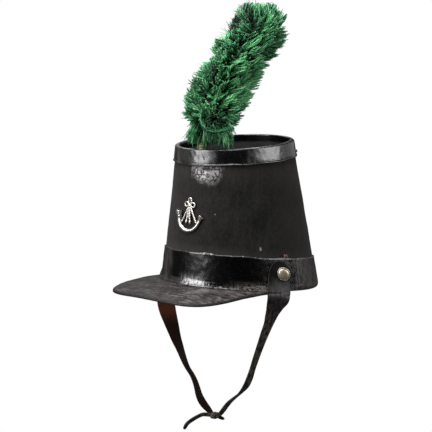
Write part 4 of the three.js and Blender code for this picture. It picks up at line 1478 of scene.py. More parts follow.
@dataclass
class ChinStrap:
    """One half of the chin strap: a tab on the band, a taper down to the knot, and a button."""

    side: Side
    rows: Array
    form: CrownForm = CrownForm()
    thick: float = 1.5
    tab_top: float = 33.6
    tab_radius: float = 15.0
    tab_angle: tuple[float, float] = (math.radians(64.9), math.radians(68.2))
    stands_out: tuple[float, float] = (3.5, 1.2)
    button_angle: float = math.radians(69.9)
    button_height: float = 20.0
    button_radius: float = 7.5
    button_tilt: float = math.radians(21.0)
    button_out: float = 4.1
    swing: float = 20.0
    start_turn: float = 64.0

    def section(self, half: Array) -> tuple[Array, Array, Array, Array]:
        """A thin strip's outline for each half width, with a pressed line inside its edges.

        Args:
            half: (n, 1) half widths.

        Returns:
            (n, m) way across, (m,) way out, (m,) flesh side, (m,) closeness to an edge.
        """
        near = np.array([0.0, 0.3, 0.8, 1.5, 1.95, 2.3, 2.65, 3.2])
        raise_ = np.array([0.22, 0.45, 0.5, 0.5, 0.47, 0.33, 0.47, 0.5]) * self.thick
        scale = np.minimum(1.0, half / 7.0)
        inner = np.linspace(-1, 1, 15)[None, :] * (half - near[-1] * scale)
        left = -half + near[:-1] * scale
        across = np.concatenate([left, inner, -left[:, ::-1]], 1)
        face = np.concatenate([raise_[:-1], np.full(15, raise_[-1]), raise_[:-1][::-1]])
        edge = np.exp(-np.concatenate([near[:-1], np.full(15, 9.0), near[:-1][::-1]]) / 0.7)
        flat = np.minimum(face, 0.5 * self.thick)
        back = -np.where(face < 0.3 * self.thick, face, np.maximum(flat, 0.47 * self.thick))
        flesh = np.concatenate([0 * face, 0 * face + 1])
        return (np.concatenate([across, across[:, ::-1]], 1), np.concatenate([face, back[::-1]]),
                flesh, np.concatenate([edge, edge[::-1]]))

    def tab(self) -> tuple[Array, Array]:
        """The tab follows the band: rows at falling heights, round at the top.

        Returns:
            (rows, points, 3) places and (rows, 1) half widths.
        """
        arc = np.radians(np.linspace(5, 90, 24))
        rise = np.concatenate([self.tab_top - self.tab_radius * (1 - np.cos(arc)),
                               np.linspace(self.tab_top - self.tab_radius, 0, 25)[1:]])[:, None]
        half = np.concatenate([self.tab_radius * np.sin(arc), np.full(24, self.tab_radius)])[:, None]
        low, high = self.tab_angle
        middle = low + (high - low) * np.clip(rise / 20.0, 0, 1)
        reach = np.hypot(self.form.rim_width * np.cos(middle), self.form.rim_length * np.sin(middle))
        near, far = self.stands_out
        lift = near + (far - near) * smooth((rise + 3.0) / self.swing)
        across, out, _, _ = self.section(half)
        theta = self.side.value * (middle + across / reach)
        share = self.form.above(theta, rise)
        dent = 0.25 * ripple(self.form.wall(theta, share, 0.0), 26.0, 31)
        dent = np.abs(dent) * (1 - smooth(rise, 20.0, 30.0))
        return self.form.wall(theta, share, lift + self.thick / 2 + out[None, :] + dent), half

    def hanging(self, tab: Array) -> tuple[Array, Array]:
        """The free part: the strip's outline carried along a curve through the rows, its
        width turned and tipped as they say, and cupped near the rim.

        Args:
            tab: the tab's rows, the last of which the free part starts from.

        Returns:
            (rows, points, 3) places and (rows, 1) half widths.
        """
        x, y, _ = tab[-1].mean(0)
        start = np.array([[x, y, 0.0, 2 * self.tab_radius, self.start_turn, 0.0]])
        per_row, passed = 9, 2
        table = spline(np.concatenate([start, self.rows]), per_row)[passed:]
        index = (np.arange(len(table)) + passed) / per_row
        turn, tip = np.radians(table[:, 4]), np.radians(table[:, 5])
        along = unit(np.gradient(table[:, :3], axis=0))
        width = np.stack([np.cos(turn) * np.cos(tip), np.sin(turn) * np.cos(tip), np.sin(tip)], -1)
        width = unit(width - (width * along).sum(-1, keepdims=True) * along)
        away = unit(np.cross(width, along) * -self.side.value)
        least_width = 1.2
        half = np.maximum(table[:, 3:4], least_width) / 2
        half[-4:] *= np.array([0.97, 0.9, 0.75, 0.45])[:, None]
        across, out, _, _ = self.section(half)
        cup = 1.2 * (1 - smooth(index / 3.0))[:, None]
        flat = table[:, None, :3] + across[..., None] * width[:, None]
        level = out[None, :] - cup * ((across / half) ** 2 - 0.4) + 0.12 * ripple(flat, 26.0, 33)
        return flat + level[..., None] * away[:, None], half

    def strip(self) -> Surface:
        """Tab and free part joined.

        Returns:
            A closed skin.
        """
        tab, tab_half = self.tab()
        free, free_half = self.hanging(tab)
        rings = np.concatenate([tab, free])
        _, _, flesh, edge = self.section(np.concatenate([tab_half, free_half]))
        ones = np.ones((len(rings), 1))
        return lofted(rings, False, {"flesh": ones * flesh, "edge": ones * edge})

    def button(self) -> Surface:
        """A domed button: shank, flat back, a raised rim and a low dome turned about its axis.

        Returns:
            A closed skin.
        """
        r = self.button_radius
        q = np.linspace(0, 1, 20)
        dome = np.stack([(r - 1.35) * np.cos(q * np.pi / 2), 1.15 + 2.6 * np.sin(q * np.pi / 2)], -1)
        rim = [[r - 0.5, 0.0], [r - 0.1, 0.2], [r, 0.65], [r - 0.1, 1.1],
               [r - 0.45, 1.38], [r - 0.85, 1.35], [r - 1.15, 1.15], [r - 1.3, 1.08]]
        profile = np.concatenate([[[0, -1.5], [1.7, -1.5], [1.7, 0.0]], rim, dome])
        skin = turned(profile, 64)
        radius = skin.values["radius"]
        skin.values["dirt"] = 1 - smooth(radius, 2.4, 6.2) + hump(radius, r - 1.25, 0.5)
        tilt = self.side.value * self.button_tilt
        x, z = skin.places[:, 0].copy(), skin.places[:, 2].copy()
        skin.places[:, 0] = x * math.cos(tilt) - z * math.sin(tilt)
        skin.places[:, 2] = x * math.sin(tilt) + z * math.cos(tilt)
        theta = self.side.value * self.button_angle
        share = float(self.form.above(np.array(theta), self.button_height))
        return self.form.set_on(skin, theta, share, self.button_out)

    def build(self) -> None:
        """Makes and dresses this half."""
        word = self.side.name.lower()
        worn = Metal("worn_button_metal", (0.56, 0.5, 0.405), (0.24, 0.18, 0.125), 0.8, 0.42, "dirt")
        make_piece(f"chin_strap_{word}", self.strip(), StrapLeather(), "strap_leather", [f"strap_{word}"])
        make_piece(f"button_{word}", self.button(), worn, "button_metal", [f"strap_button_{word}"])


@dataclass
class Knot:
    """The leather wrap that closes the two halves."""

    middle: Place = (-7.2, -20.5, -157.1)
    length: float = 6.4
    half: tuple[float, float] = (3.4, 2.8)
    wall: float = 1.2

    def wrap(self) -> Surface:
        """A rounded strip bent into a squared ring: across = |cos|^0.6 and up = |sin|^0.6.

        Returns:
            A closed skin.
        """
        squareness, skew = 0.6, 0.9
        a = circle(96)[:, None]
        across = np.sign(np.cos(a)) * np.abs(np.cos(a)) ** squareness
        upright = np.sign(np.sin(a)) * np.abs(np.sin(a)) ** squareness
        h, wall = self.length / 2, self.wall
        loop = rounded_loop([(-h, 0.0), (h, 0.0), (h, wall * 0.75), (0.4 * h, wall), (0, wall * 0.8),
                             (-0.4 * h, wall), (-h, wall * 0.75)], 0.5, 0.5)
        along, grow = loop[None, :, 0], loop[None, :, 1]
        along = along + skew * np.sin(a)
        deep, tall = across * (self.half[0] + grow), upright * (self.half[1] + grow)
        rings = np.stack([self.middle[0] + along, self.middle[1] + deep, self.middle[2] + tall], -1)
        outwards = unit(np.stack([0 * deep, deep, tall], -1))
        rings = rings + 0.12 * ripple(rings, 5.0, 41)[..., None] * outwards
        edge = hump(np.abs(loop[None, :, 0]), h, 0.8) + 0 * a
        return lofted(rings, True, {"edge": edge})

    def build(self) -> None:
        """Makes and dresses the wrap."""
        make_piece("knot_wrap", self.wrap(), StrapLeather(), "strap_leather", ["strap_knot"])


# ---------- badge
# Rows of across, up and radius, from the bell to the mouthpiece.
HORN = np.array([
    (-14.9, 3.9, 4.3), (-14.6, 2.2, 4.2), (-14.4, 0, 3.3), (-14.2, -3.6, 2.8), (-13.2, -8.6, 2.7),
    (-10.2, -13.2, 2.5), (-5.6, -16, 2.2), (-0.6, -16.6, 1.9), (4.2, -15.4, 1.7), (8.6, -11.9, 1.6),
    (11.4, -7.6, 1.5), (13.2, -3.6, 1.6), (14.9, -1, 2.6), (15.6, -0.2, 3.1)], float)


@dataclass
class Badge:
    """A hunting horn hung by its cords from a three-loop bow, drawn flat and laid on the felt.

    A row of cords holds its two ends and its radius; one of loops or knobs holds its middle,
    half width and half height.
    """

    form: CrownForm = CrownForm()
    rise: float = 75.2
    turn: float = math.radians(-1.9)
    stands_off: float = 0.4
    flat: float = 0.75
    mouth_radius: float = 4.3
    cords: tuple[Row, ...] = (
        (-1.4, 9.8, -10.6, -7.8, 1.1), (-0.8, 9.8, -3.8, -6.2, 1.15), (0.2, 9.8, 1.0, -6.2, 1.15),
        (0.8, 9.8, 9.4, -8.2, 1.1), (-0.3, 9.8, -1.4, -3.4, 0.8))
    loops: tuple[Row, ...] = (
        (-0.2, 15.4, 2.0, 3.3), (-4.7, 11.7, 2.7, 2.4), (3.9, 11.2, 2.7, 2.4))
    knobs: tuple[Row, ...] = (
        (-3.9, -7.2, 1.5, 2.0), (1.1, -7.2, 1.5, 2.0), (-0.4, 10.4, 1.9, 1.7))

    def horn(self) -> Surface:
        """A tube along the horn's curve: the bell is turned in to a hollow mouth, with two
        raised rings behind it, one at the mouthpiece and one in the middle.

        Returns:
            A closed skin.
        """
        table = spline(np.column_stack([HORN[:, 0], HORN[:, 1], 0 * HORN[:, 0], HORN[:, 2]]), 9)
        way = travelled(table[:, :2])
        swell = 1 + 0.1 * hump(way, 3.2, 0.7) + 0.12 * hump(way, 5.6, 0.5) + 0.16 * hump(way, 26.0, 0.8)
        radius = table[:, 3] * (swell + 0.14 * hump(way, way[-1] - 3.0, 0.6))
        along = unit(np.gradient(table[:, :3], axis=0))
        depth = np.array([3.0, 2.2, 1.2, 0.45, 0.1, -0.25, -0.2])[:, None]
        mouth = table[:1, :3] + along[:1] * depth
        mouth_radius = self.mouth_radius * np.array([0.12, 0.42, 0.66, 0.82, 0.9, 0.99, 1.06])
        centres = np.concatenate([mouth, table[:, :3]])
        radii = np.concatenate([mouth_radius, radius])
        count = len(depth)
        ways = np.concatenate([np.repeat(along[:1], count, 0), along])
        side = unit(np.cross(ways, [0, 0, 1.0]))
        a = circle(36)[None, :, None]
        floor = 0.9 * np.concatenate([np.full(count, self.mouth_radius), radius])
        lift = np.maximum(radii, floor)[:, None, None]
        rings = centres[:, None] + radii[:, None, None] * np.cos(a) * side[:, None]
        rings = rings + self.flat * (lift + radii[:, None, None] * np.sin(a)) * np.array([0, 0, 1.0])
        dark = [1.0, 1.0, 0.8, 0.4]
        deep = np.concatenate([dark, np.zeros(len(radii) - len(dark))])[:, None]
        return lofted(rings, False, {"deep": deep + 0 * a[..., 0]})

    def cord(self, cord: Row) -> Surface:
        """A twisted cord: a straight tube whose radius swells at each turn of its lay.

        Args:
            cord: one row of cords.

        Returns:
            A closed skin.
        """
        u0, v0, u1, v1, r = cord
        lay = 1.7
        t = np.linspace(0, 1, 60)[:, None]
        path = np.array([[u0, v0, self.flat * (r + 0.7)]]) + t * np.array([[u1 - u0, v1 - v0, -0.2]])
        length = math.hypot(u1 - u0, v1 - v0)
        radius = r * (0.72 + 0.28 * smooth(t[:, 0], 0, 0.35))
        radius = radius * (1 + 0.13 * np.cos(t[:, 0] * length / lay * 2 * np.pi))
        return tube(path, radius, 12, self.flat)

    def loop(self, loop: Row) -> Surface:
        """A bow loop: a round cord bent into an oval.

        Args:
            loop: one row of loops.

        Returns:
            A closed skin.
        """
        u, v, wide, tall = loop
        t, a = circle(48)[:, None], circle(12)[None, :]
        thick, swell, swells, off = 0.95, 0.08, 10, 1.15
        r = thick * (1 + swell * np.cos(swells * t))
        x, y = u + (wide + r * np.cos(a)) * np.cos(t), v + (tall + r * np.cos(a)) * np.sin(t)
        return lofted(np.stack([x, y, off + 0.85 * r * np.sin(a) + 0 * t], -1), True)

    def knob(self, knob: Row) -> Surface:
        """An oval knob or tassel end: radius = half width times sqrt(1 - q^2).

        Args:
            knob: one row of knobs.

        Returns:
            A closed skin.
        """
        u, v, wide, tall = knob
        q, off = np.linspace(-0.97, 0.97, 14), 1.25
        path = np.stack([u + 0 * q, v + tall * q, off + 0 * q], -1)
        return tube(path, wide * np.sqrt(1 - q**2) * (1 + 0.06 * np.cos(18 * q)), 16, self.flat)

    def skin(self) -> Surface:
        """All the parts of the casting, laid on the wall; "deep" is 1 close to the felt.

        Returns:
            A closed skin.
        """
        cords, loops = map(self.cord, self.cords), map(self.loop, self.loops)
        whole = Surface.join([self.horn(), *cords, *loops, *map(self.knob, self.knobs)])
        close, clear = 0.4, 2.2
        low = 1 - smooth(whole.places[:, 2], close, clear)
        whole.values["deep"] = np.clip(whole.values["deep"] + low, 0, 1)
        return self.form.bent(whole, self.turn, self.rise, self.form.felt_face + self.stands_off)

    def build(self) -> None:
        """Makes and dresses the badge."""
        silver = Metal("worn_silver", (0.6, 0.57, 0.53), (0.05, 0.041, 0.034), 0.9, 0.3, "deep")
        make_piece("horn_badge", self.skin(), silver, "silver", ["badge"])


# ---------- plume
# Rows of x, y, z and radius, from the foot up.
PLUME_LINE = np.array([
    (6, -94, 158.2, 11.4), (7.4, -93, 160.5, 19.9), (8.2, -92.6, 165.5, 24.2),
    (8.2, -93, 173, 27.1), (8.2, -93, 182, 29), (8.8, -92.4, 192, 31.3),
    (11.2, -90.4, 203, 32.3), (14.4, -87.8, 215, 32.8), (17.4, -85.2, 227, 33.2),
    (21.2, -82, 237, 32.3), (26.6, -77.6, 247, 31.8), (32, -73, 258, 32.8),
    (36.2, -69.5, 269, 33.2), (38, -68, 280, 30.4), (38.4, -68, 290, 26),
    (38.4, -68, 298, 20.9), (38.4, -68.4, 303.5, 12.3)], float)
# Rows of angle in degrees, height and reach of the dark hollows between locks.
PARTINGS = np.array([
    (-67, 277, 7.5), (-71, 261, 6), (-54, 254, 6.5), (-60, 244, 7.5), (-47, 231, 4.5),
    (-57, 224, 4), (-41, 212, 5), (-81, 210, 4.5), (-36, 197, 5.5), (-62, 199, 3.5),
    (-87, 186, 4.5), (-46, 174.5, 8), (-72, 290, 5), (20, 262, 6), (60, 236, 6),
    (110, 268, 6), (150, 214, 5), (200, 250, 6), (120, 190, 5), (235, 226, 5)], float)
# Places along the lock that curls under the foot.
CURL = np.array([
    (11.5, -117.6, 183), (13.8, -119.6, 177), (17.5, -120, 170.6), (22.6, -117.4, 166.4),
    (28.6, -112.2, 165.2), (33.4, -105.4, 167.2), (36.4, -97.4, 170.4)], float)
GOLDEN_TURN = 2.39996
GOLDEN_SHARE = 0.618034
LEFT_AND_BACK = np.array([0.8, 0.6, 0.0])


@dataclass
class Plume:
    """A tuft of wool yarn on a wound stem: locks of bent strands round a dark core."""

    stem_at: tuple[float, float] = (1.2, -96.6)
    stem_radius: float = 4.3
    locks: int = 700
    strands_each: int = 14
    skirt_locks: int = 80
    tail_strands: int = 90
    curl_strands: int = 13
    wisp_strands: int = 170
    foot: float = 180.0
    head: float = 303.0
    rise: float = 15.0
    core_share: float = 0.55
    foot_at: Place = (8.2, -93.0, 0.0)
    stem_ends: tuple[float, float] = (142.2, 166.0)
    stem_pitch: float = 1.15
    stem_ring: float = 153.5
    pieces: int = 3

    def core(self) -> Surface:
        """The middle, painted dark as shade: the tuft's outline, smaller and waved like bunched yarn.

        Returns:
            A closed skin.
        """
        table = spline(PLUME_LINE, 6)
        a = circle(72)[None, :]
        r = table[:, 3:4] * self.core_share * (1 + 0.06 * np.sin(9 * a + table[:, 2:3] * 0.4))
        height = table[:, 2:3] * 0.85 + 28 + 0 * a
        rings = np.stack([table[:, 0:1] + r * np.cos(a), table[:, 1:2] + r * np.sin(a), height], -1)
        return lofted(rings, False, {"shade": 0 * r, "out": 0 * r})

    @staticmethod
    def at(height: Array) -> Array:
        """Centre and radius of the tuft at each height, straight between table rows."""
        return np.stack([np.interp(height, PLUME_LINE[:, 2], PLUME_LINE[:, n]) for n in range(4)], -1)

    def yarn(self, line: Array, width: Array, shade: Array) -> Surface:
        """Strands of yarn along given lines: three-sided, a little thinner at a blunt tip.

        The value "out" is a place's distance from the tuft's middle line over the
        outline's radius there, from 0.5 to 1; a low value paints shade on the wool.

        Args:
            line: (n, rows, 3) places along each strand, root first.
            width: (n,) radii.
            shade: (n,) the strand's own shade from 0 to 1.

        Returns:
            A closed skin.
        """
        n, rows = line.shape[:2]
        cols, seldom_met = 3, [0.53, 0.31, -0.79]
        thin = np.interp(np.linspace(0, 1, rows), [0, 0.3, 0.8, 1], [0.9, 1.0, 0.95, 0.55])
        along = unit(np.gradient(line, axis=1))
        side = unit(np.cross(along, seldom_met))
        up = np.cross(side, along)
        a = np.radians([90.0, 210.0, 330.0])[None, None, :, None]
        r = (width[:, None] * thin)[..., None, None]
        rings = line[:, :, None] + r * (np.cos(a) * side[:, :, None] + np.sin(a) * up[:, :, None])
        tip = line[:, -1] + along[:, -1] * width[:, None] * 0.6
        places = np.concatenate([rings.reshape(n, rows * cols, 3), tip[:, None]], 1)
        i, j = np.arange(rows - 1)[:, None] * cols, np.arange(cols)[None, :]
        k = (j + 1) % cols
        quads = np.stack([i + j, i + k, i + cols + k, i + cols + j], -1).reshape(-1, 4)
        last, ring = (rows - 1) * cols, np.arange(cols)
        fan = np.stack([last + ring, last + (ring + 1) % cols, np.full(cols, rows * cols)], -1)
        tris = np.concatenate([[[2, 1, 0]], fan])
        start = (np.arange(n) * (rows * cols + 1))[:, None, None]
        places = places.reshape(-1, 3)
        spine = self.at(places[:, 2])
        share = np.linalg.norm(places[:, :2] - spine[:, :2], axis=-1) / spine[:, 3]
        share = np.maximum(share, smooth(places[:, 2], 285.0, 303.0))
        # "out" paints shade on the wool towards the tuft's middle
        values = {"out": smooth(share, 0.5, 1.0), "shade": np.repeat(shade, rows * cols + 1)}
        quads, tris = (quads[None] + start).reshape(-1, 4), (tris[None] + start).reshape(-1, 3)
        return Surface(places, quads, tris, values).outwards()

    @staticmethod
    def arcs(root: Array, tip: Array, bow: Array, rows: int = 6) -> Array:
        """Bowed lines: place = root + t (tip - root) + 4 t (1 - t) bow, t from 0 to 1."""
        t = np.linspace(0, 1, rows)[None, :, None]
        return root[:, None] + t * (tip - root)[:, None] + 4 * t * (1 - t) * bow[:, None]

    def outline(self, count: int, rng: np.random.Generator) -> tuple[Array, Array]:
        """Evenly spread places over the tuft's outline, the head's cap included.

        Heights are drawn in proportion to the area of the turned outline between rows.

        Args:
            count: how many places.
            rng: the random source.

        Returns:
            (count,) heights and (count,) share of the outline's radius there.
        """
        z, r = PLUME_LINE[:, 2], PLUME_LINE[:, 3]
        fine = np.linspace(self.foot - 4.0, z[-1], 400)
        wide = np.interp(fine, z, r)
        strips = 0.5 * (wide[1:] + wide[:-1]) * np.hypot(np.diff(fine), np.diff(wide))
        area = np.concatenate([[0], np.cumsum(strips)])
        cap_share = 0.09
        cap = area[-1] * cap_share
        draw = (np.arange(count) + rng.uniform(0, 1, count)) / count * (area[-1] + cap)
        inner = np.where(draw > area[-1], np.sqrt(rng.uniform(0, 1, count)), 1.0)
        return np.interp(draw, area, fine), inner

    @staticmethod
    def parted(angle: Array, high: Array, radius: Array) -> tuple[Array, Array, Array, Array, Array]:
        """Pushes tips away from the partings, where the strands radiate from a dark middle.

        Args:
            angle: angles round the tuft, in radians.
            high: heights.
            radius: the outline's radius at each.

        Returns:
            New angles and heights, the share of the radius that is lost, and the turn and
            the climb that would bring each root to the middle of its nearest parting.
        """
        wide, firm, deep, gather = 1.5, 0.45, 0.36, 2.1
        turn = angle[:, None] - np.radians(PARTINGS[None, :, 0])
        across = np.arctan2(np.sin(turn), np.cos(turn)) * radius[:, None]
        upward = high[:, None] - PARTINGS[None, :, 1]
        away = np.maximum(np.hypot(across, upward), 0.3)
        reach = PARTINGS[None, :, 2] * wide
        push = np.clip(reach - away, 0, None) * firm
        sunk = (np.clip(1 - away / reach, 0, 1) * deep).max(1)
        pull = np.clip(1 - away / (reach * gather), 0, 1) * 0.9
        nearest = pull.argmax(1)[:, None]
        weight = np.take_along_axis(pull, nearest, 1)[:, 0]
        turn_in = -np.take_along_axis(across, nearest, 1)[:, 0] / radius * weight
        climb_in = -np.take_along_axis(upward, nearest, 1)[:, 0] * weight
        angle = angle + (across / away * push).sum(1) / radius
        high = high + (upward / away * push).sum(1)
        return angle, high, sunk, turn_in, np.where(weight > 0.02, climb_in, 0.0)

    def strands(self) -> Surface:
        """Locks spread evenly over the outline. Each lock's strands lie side by side: they
        start low at the core, bow outwards and end at the outline pointing up, each lock
        turned its own way. Strands of the head all start near its middle and splay out.

        Returns:
            All strands as one skin.
        """
        rng = np.random.default_rng(11)
        n, m = self.locks, self.strands_each
        count = n * m
        high, inner = self.outline(n, rng)
        around = np.arange(n) * GOLDEN_TURN + rng.normal(0, 0.2, n)
        tone, stretch = rng.uniform(0.0, 1.0, n), rng.uniform(0.72, 1.15, n)
        climb, twist = rng.uniform(0.3, 1.25, n), rng.normal(0, 0.62, n)
        own = np.repeat(np.arange(n), m)
        fan = rng.normal(0, 1.0, (count, 2))
        # each strand's place in its lock, pushed away from the partings
        spread_across, spread_up, narrow = 2.1, 2.4, 12.0
        radius = self.at(high)[:, 3]
        angle = around[own] + fan[:, 0] * spread_across / np.maximum(radius[own], narrow)
        h = np.clip(high[own] + fan[:, 1] * spread_up, self.foot - 10.0, self.head)
        angle, h, sunk, turn_in, climb_in = self.parted(angle, h, np.maximum(self.at(h)[:, 3], narrow))
        h = np.clip(h, self.foot - 12.0, self.head + 0.3)
        # tips: the head leans to the left and back
        spine = self.at(h)
        away = level_way(angle)
        behind, ahead = np.clip(away @ LEFT_AND_BACK, 0, 1), np.clip(away @ -LEFT_AND_BACK, 0, 1)
        splay = 7.5 * smooth(h, 284.0, 297.0) * behind**2 - 6.0 * hump(h, 284.0, 17.0) * ahead**2
        reach = spine[:, 3] * inner[own] * stretch[own] * (1 - sunk) * rng.uniform(0.88, 1.06, count)
        tip = spine[:, :3] + away * (reach + splay)[:, None]
        tip[:, 2] += rng.uniform(-8.0, 4.5, n)[own] * smooth(h, 270.0, 297.0)
        # roots: lower down, at the core
        drop = self.rise * climb[own] * rng.uniform(0.85, 1.15, count)
        drop = drop * (1 + 0.9 * smooth(h, 272.0, 302.0)) * (1 - 0.45 * behind)
        low = h - drop + np.clip(climb_in, -12.0, 12.0) + np.where(climb_in != 0, drop * 0.6, 0.0)
        low = np.clip(low, self.foot + rng.normal(2.0, 2.5, n)[own], 283.0)
        seat = self.at(low)
        start = np.minimum(seat[:, 3] * 0.42, 13.0) * rng.uniform(0.7, 1.2, count)
        at_core = angle - twist[own] + turn_in + rng.normal(0, 0.05, count)
        root = seat[:, :3] + level_way(at_core) * start[:, None]
        # the bow between them, and the shade
        across = np.stack([-np.sin(angle), np.cos(angle), 0 * angle], -1)
        length = np.linalg.norm(tip - root, axis=-1)[:, None]
        bow = away * rng.uniform(0.02, 0.14, n)[own][:, None]
        bow = bow + across * (twist[own] * 0.14 + rng.normal(0, 0.045, count))[:, None]
        shade = tone[own] * 0.6 - 0.04 + rng.uniform(0, 0.5, count) + rng.normal(0, 0.12, count)
        # painted shade: strands on the side towards the front and the wearer's right, which faces the left
        # softbox, are darker
        shade = np.clip(shade - 0.28 * ahead**1.5, 0, 1)
        return self.yarn(self.arcs(root, tip, bow * length), rng.uniform(0.56, 0.88, count), shade)

    def skirt(self) -> Surface:
        """Locks that hang from the foot round the stem, short tails over the stem, and the
        curl: a lock that bends round below the foot and is carried along its own curve.

        Returns:
            A closed skin.
        """
        rng = np.random.default_rng(23)
        n, m = self.skirt_locks, self.strands_each
        count = n * m
        own = np.repeat(np.arange(n), m)
        first, sweep = -66.0, 318.0
        around = np.radians(first + sweep * (np.arange(n) * GOLDEN_SHARE % 1.0)) + rng.normal(0, 0.08, n)
        low, stretch = rng.uniform(154.0, 174.0, n), rng.uniform(0.6, 1.0, n)
        angle = around[own] + rng.normal(0, 0.17, count)
        away, middle = level_way(angle), np.array(self.foot_at)
        end = middle + away * (24.5 * stretch[own] + rng.normal(0, 2.3, count))[:, None]
        end[:, 2] = low[own] + rng.normal(0, 2.4, count)
        root = middle + away * rng.uniform(7.0, 12.0, count)[:, None]
        root[:, 2] = rng.uniform(173.0, 181.0, count)
        shade = np.clip(rng.uniform(0.0, 0.45, n)[own] + rng.uniform(-0.1, 0.5, count), 0, 1)
        hanging = self.yarn(self.arcs(root, end, away * rng.uniform(1.0, 5.5, count)[:, None]),
                            rng.uniform(0.36, 0.62, count), shade)
        k = self.tail_strands
        close = level_way(rng.uniform(0, 2 * np.pi, k))
        knit = np.array([*self.stem_at, 0.0]) + close * rng.uniform(4.6, 5.6, k)[:, None]
        top = knit + close * rng.uniform(0.0, 2.5, k)[:, None] + [0, 0, 172.0]
        tail = knit + np.array([0, 0, 1.0]) * rng.uniform(145.0, 162.0, k)[:, None]
        tails = self.yarn(self.arcs(top, tail, close * rng.uniform(0.0, 1.0, k)[:, None]),
                          rng.uniform(0.3, 0.5, k), rng.uniform(0.1, 0.8, k))
        path, k = spline(CURL, 3), self.curl_strands
        apart = rng.normal(0, 1.0, (k, 1, 3)) * [1.1, 1.1, 1.5]
        drift = apart + rng.normal(0, 0.45, (k, len(path), 3))
        curl = self.yarn(path[None] + drift, rng.uniform(0.36, 0.55, k), rng.uniform(0.0, 0.75, k))
        return Surface.join([hanging, curl, tails])

    def wisps(self) -> Surface:
        """A few thin strands that stand out of the outline, most of them at the head.

        Returns:
            A closed skin.
        """
        rng = np.random.default_rng(5)
        n = self.wisp_strands
        h = 166.0 + 134.0 * rng.uniform(0, 1, n) ** 0.7
        angle = rng.uniform(0, 2 * np.pi, n)
        spine = self.at(h)
        away = unit(np.stack([np.cos(angle), np.sin(angle), rng.uniform(-0.1, 1.0, n)], -1))
        root = spine[:, :3] + away * spine[:, 3:4] * 0.6
        length = spine[:, 3:4] * rng.uniform(0.4, 0.56, (n, 1))
        bow = rng.normal(0, 0.06, (n, 3)) * length
        lines = self.arcs(root, root + away * length, bow)
        return self.yarn(lines, rng.uniform(0.2, 0.36, n), rng.uniform(0.1, 0.8, n))

    def stem(self) -> Surface:
        """A wound stem: radius swells at each turn of its thread, with a thicker dark ring
        near its head.

        Returns:
            A closed skin.
        """
        low, high = self.stem_ends
        once, band_pitch = self.stem_pitch, 3.1
        z = np.linspace(low, high, 240)
        turn = np.cos((z - low) / once * 2 * np.pi)
        r = self.stem_radius - 0.35 + 0.28 * turn + 0.5 * hump(z, self.stem_ring, 1.6)
        foot, head = [[0, low], [r[0] - 0.6, low]], [[r[-1] - 0.6, high], [0, high]]
        skin = turned(np.concatenate([foot, np.stack([r, z], -1), head]), 40)
        z = skin.places[:, 2]
        # darker between the turns as painted shade; also dark bands 3.1 apart and the dark ring
        depth = np.clip(0.5 - 0.5 * np.cos((z - low) / once * 2 * np.pi), 0, 1)
        bands = np.cos(z / band_pitch * 2 * np.pi) > 0.55
        skin.values["deep"] = np.clip(depth * 0.5 + bands + 1.2 * hump(z, self.stem_ring, 1.2), 0, 1)
        skin.places = skin.places + [self.stem_at[0], self.stem_at[1], 0]
        return skin

    def build(self) -> None:
        """Makes and dresses the plume, its strands in several pieces."""
        wool = Wool()
        # the core is bunched yarn painted dark as shade
        make_piece("plume_painted_shade_core", self.core(), wool, "plume_wool", ["plume"])
        for n, part in enumerate(self.split(self.strands())):
            make_piece(f"plume_strands_{n + 1}", part, wool, "plume_wool")
        make_piece("plume_skirt", self.skirt(), wool, "plume_wool")
        make_piece("plume_wisps", self.wisps(), wool, "plume_wool")
        linen = Thread("wound_thread", (0.55, 0.53, 0.31), (0.03, 0.04, 0.016))
        make_piece("stem_winding", self.stem(), linen, "stem_thread", ["plume_stem"])

    def split(self, whole: Surface) -> list[Surface]:
        """Cuts the strands' skin between strands into a few pieces of equal count.

        Args:
            whole: all the strands.

        Returns:
            The pieces.
        """
        strands = self.locks * self.strands_each
        size = len(whole.places) // strands
        quads, tris = whole.quads.reshape(strands, -1, 4), whole.tris.reshape(strands, -1, 3)
        cut = np.linspace(0, strands, self.pieces + 1).astype(int)
        return [Surface(whole.places[a * size:b * size], (quads[a:b] - a * size).reshape(-1, 4),
                        (tris[a:b] - a * size).reshape(-1, 3),
                        {name: v[a * size:b * size] for name, v in whole.values.items()})
                for a, b in zip(cut[:-1], cut[1:])]


# ---------- studio
@dataclass(frozen=True)
class Softbox:
    """A rectangular lamp that looks at the middle of the crown.

    azimuth is measured from the front towards the wearer's left, elevation up, in degrees.
    """

    azimuth: float
    elevation: float
    distance: float
    width: float
    height: float
    power: float
    look_at: Colour = (0.0, -0.02, 0.08)

    def place(self, name: str) -> None:
        """Hangs the lamp.

        Args:
            name: the lamp's name.
        """
        lamp = bpy.data.lights.new(name, "AREA")
        lamp.shape, lamp.size, lamp.size_y, lamp.energy = "RECTANGLE", self.width, self.height, self.power
        holder = bpy.data.objects.new(name, lamp)
        a, e = math.radians(self.azimuth), math.radians(self.elevation)
        way = Vector((math.sin(a) * math.cos(e), -math.cos(a) * math.cos(e), math.sin(e)))
        spot = Vector(self.look_at) + way * self.distance
        turn = (-way).to_track_quat("-Z", "Y").to_matrix().to_4x4()
        holder.matrix_world = Matrix.Translation(spot) @ turn
        bpy.context.scene.collection.objects.link(holder)


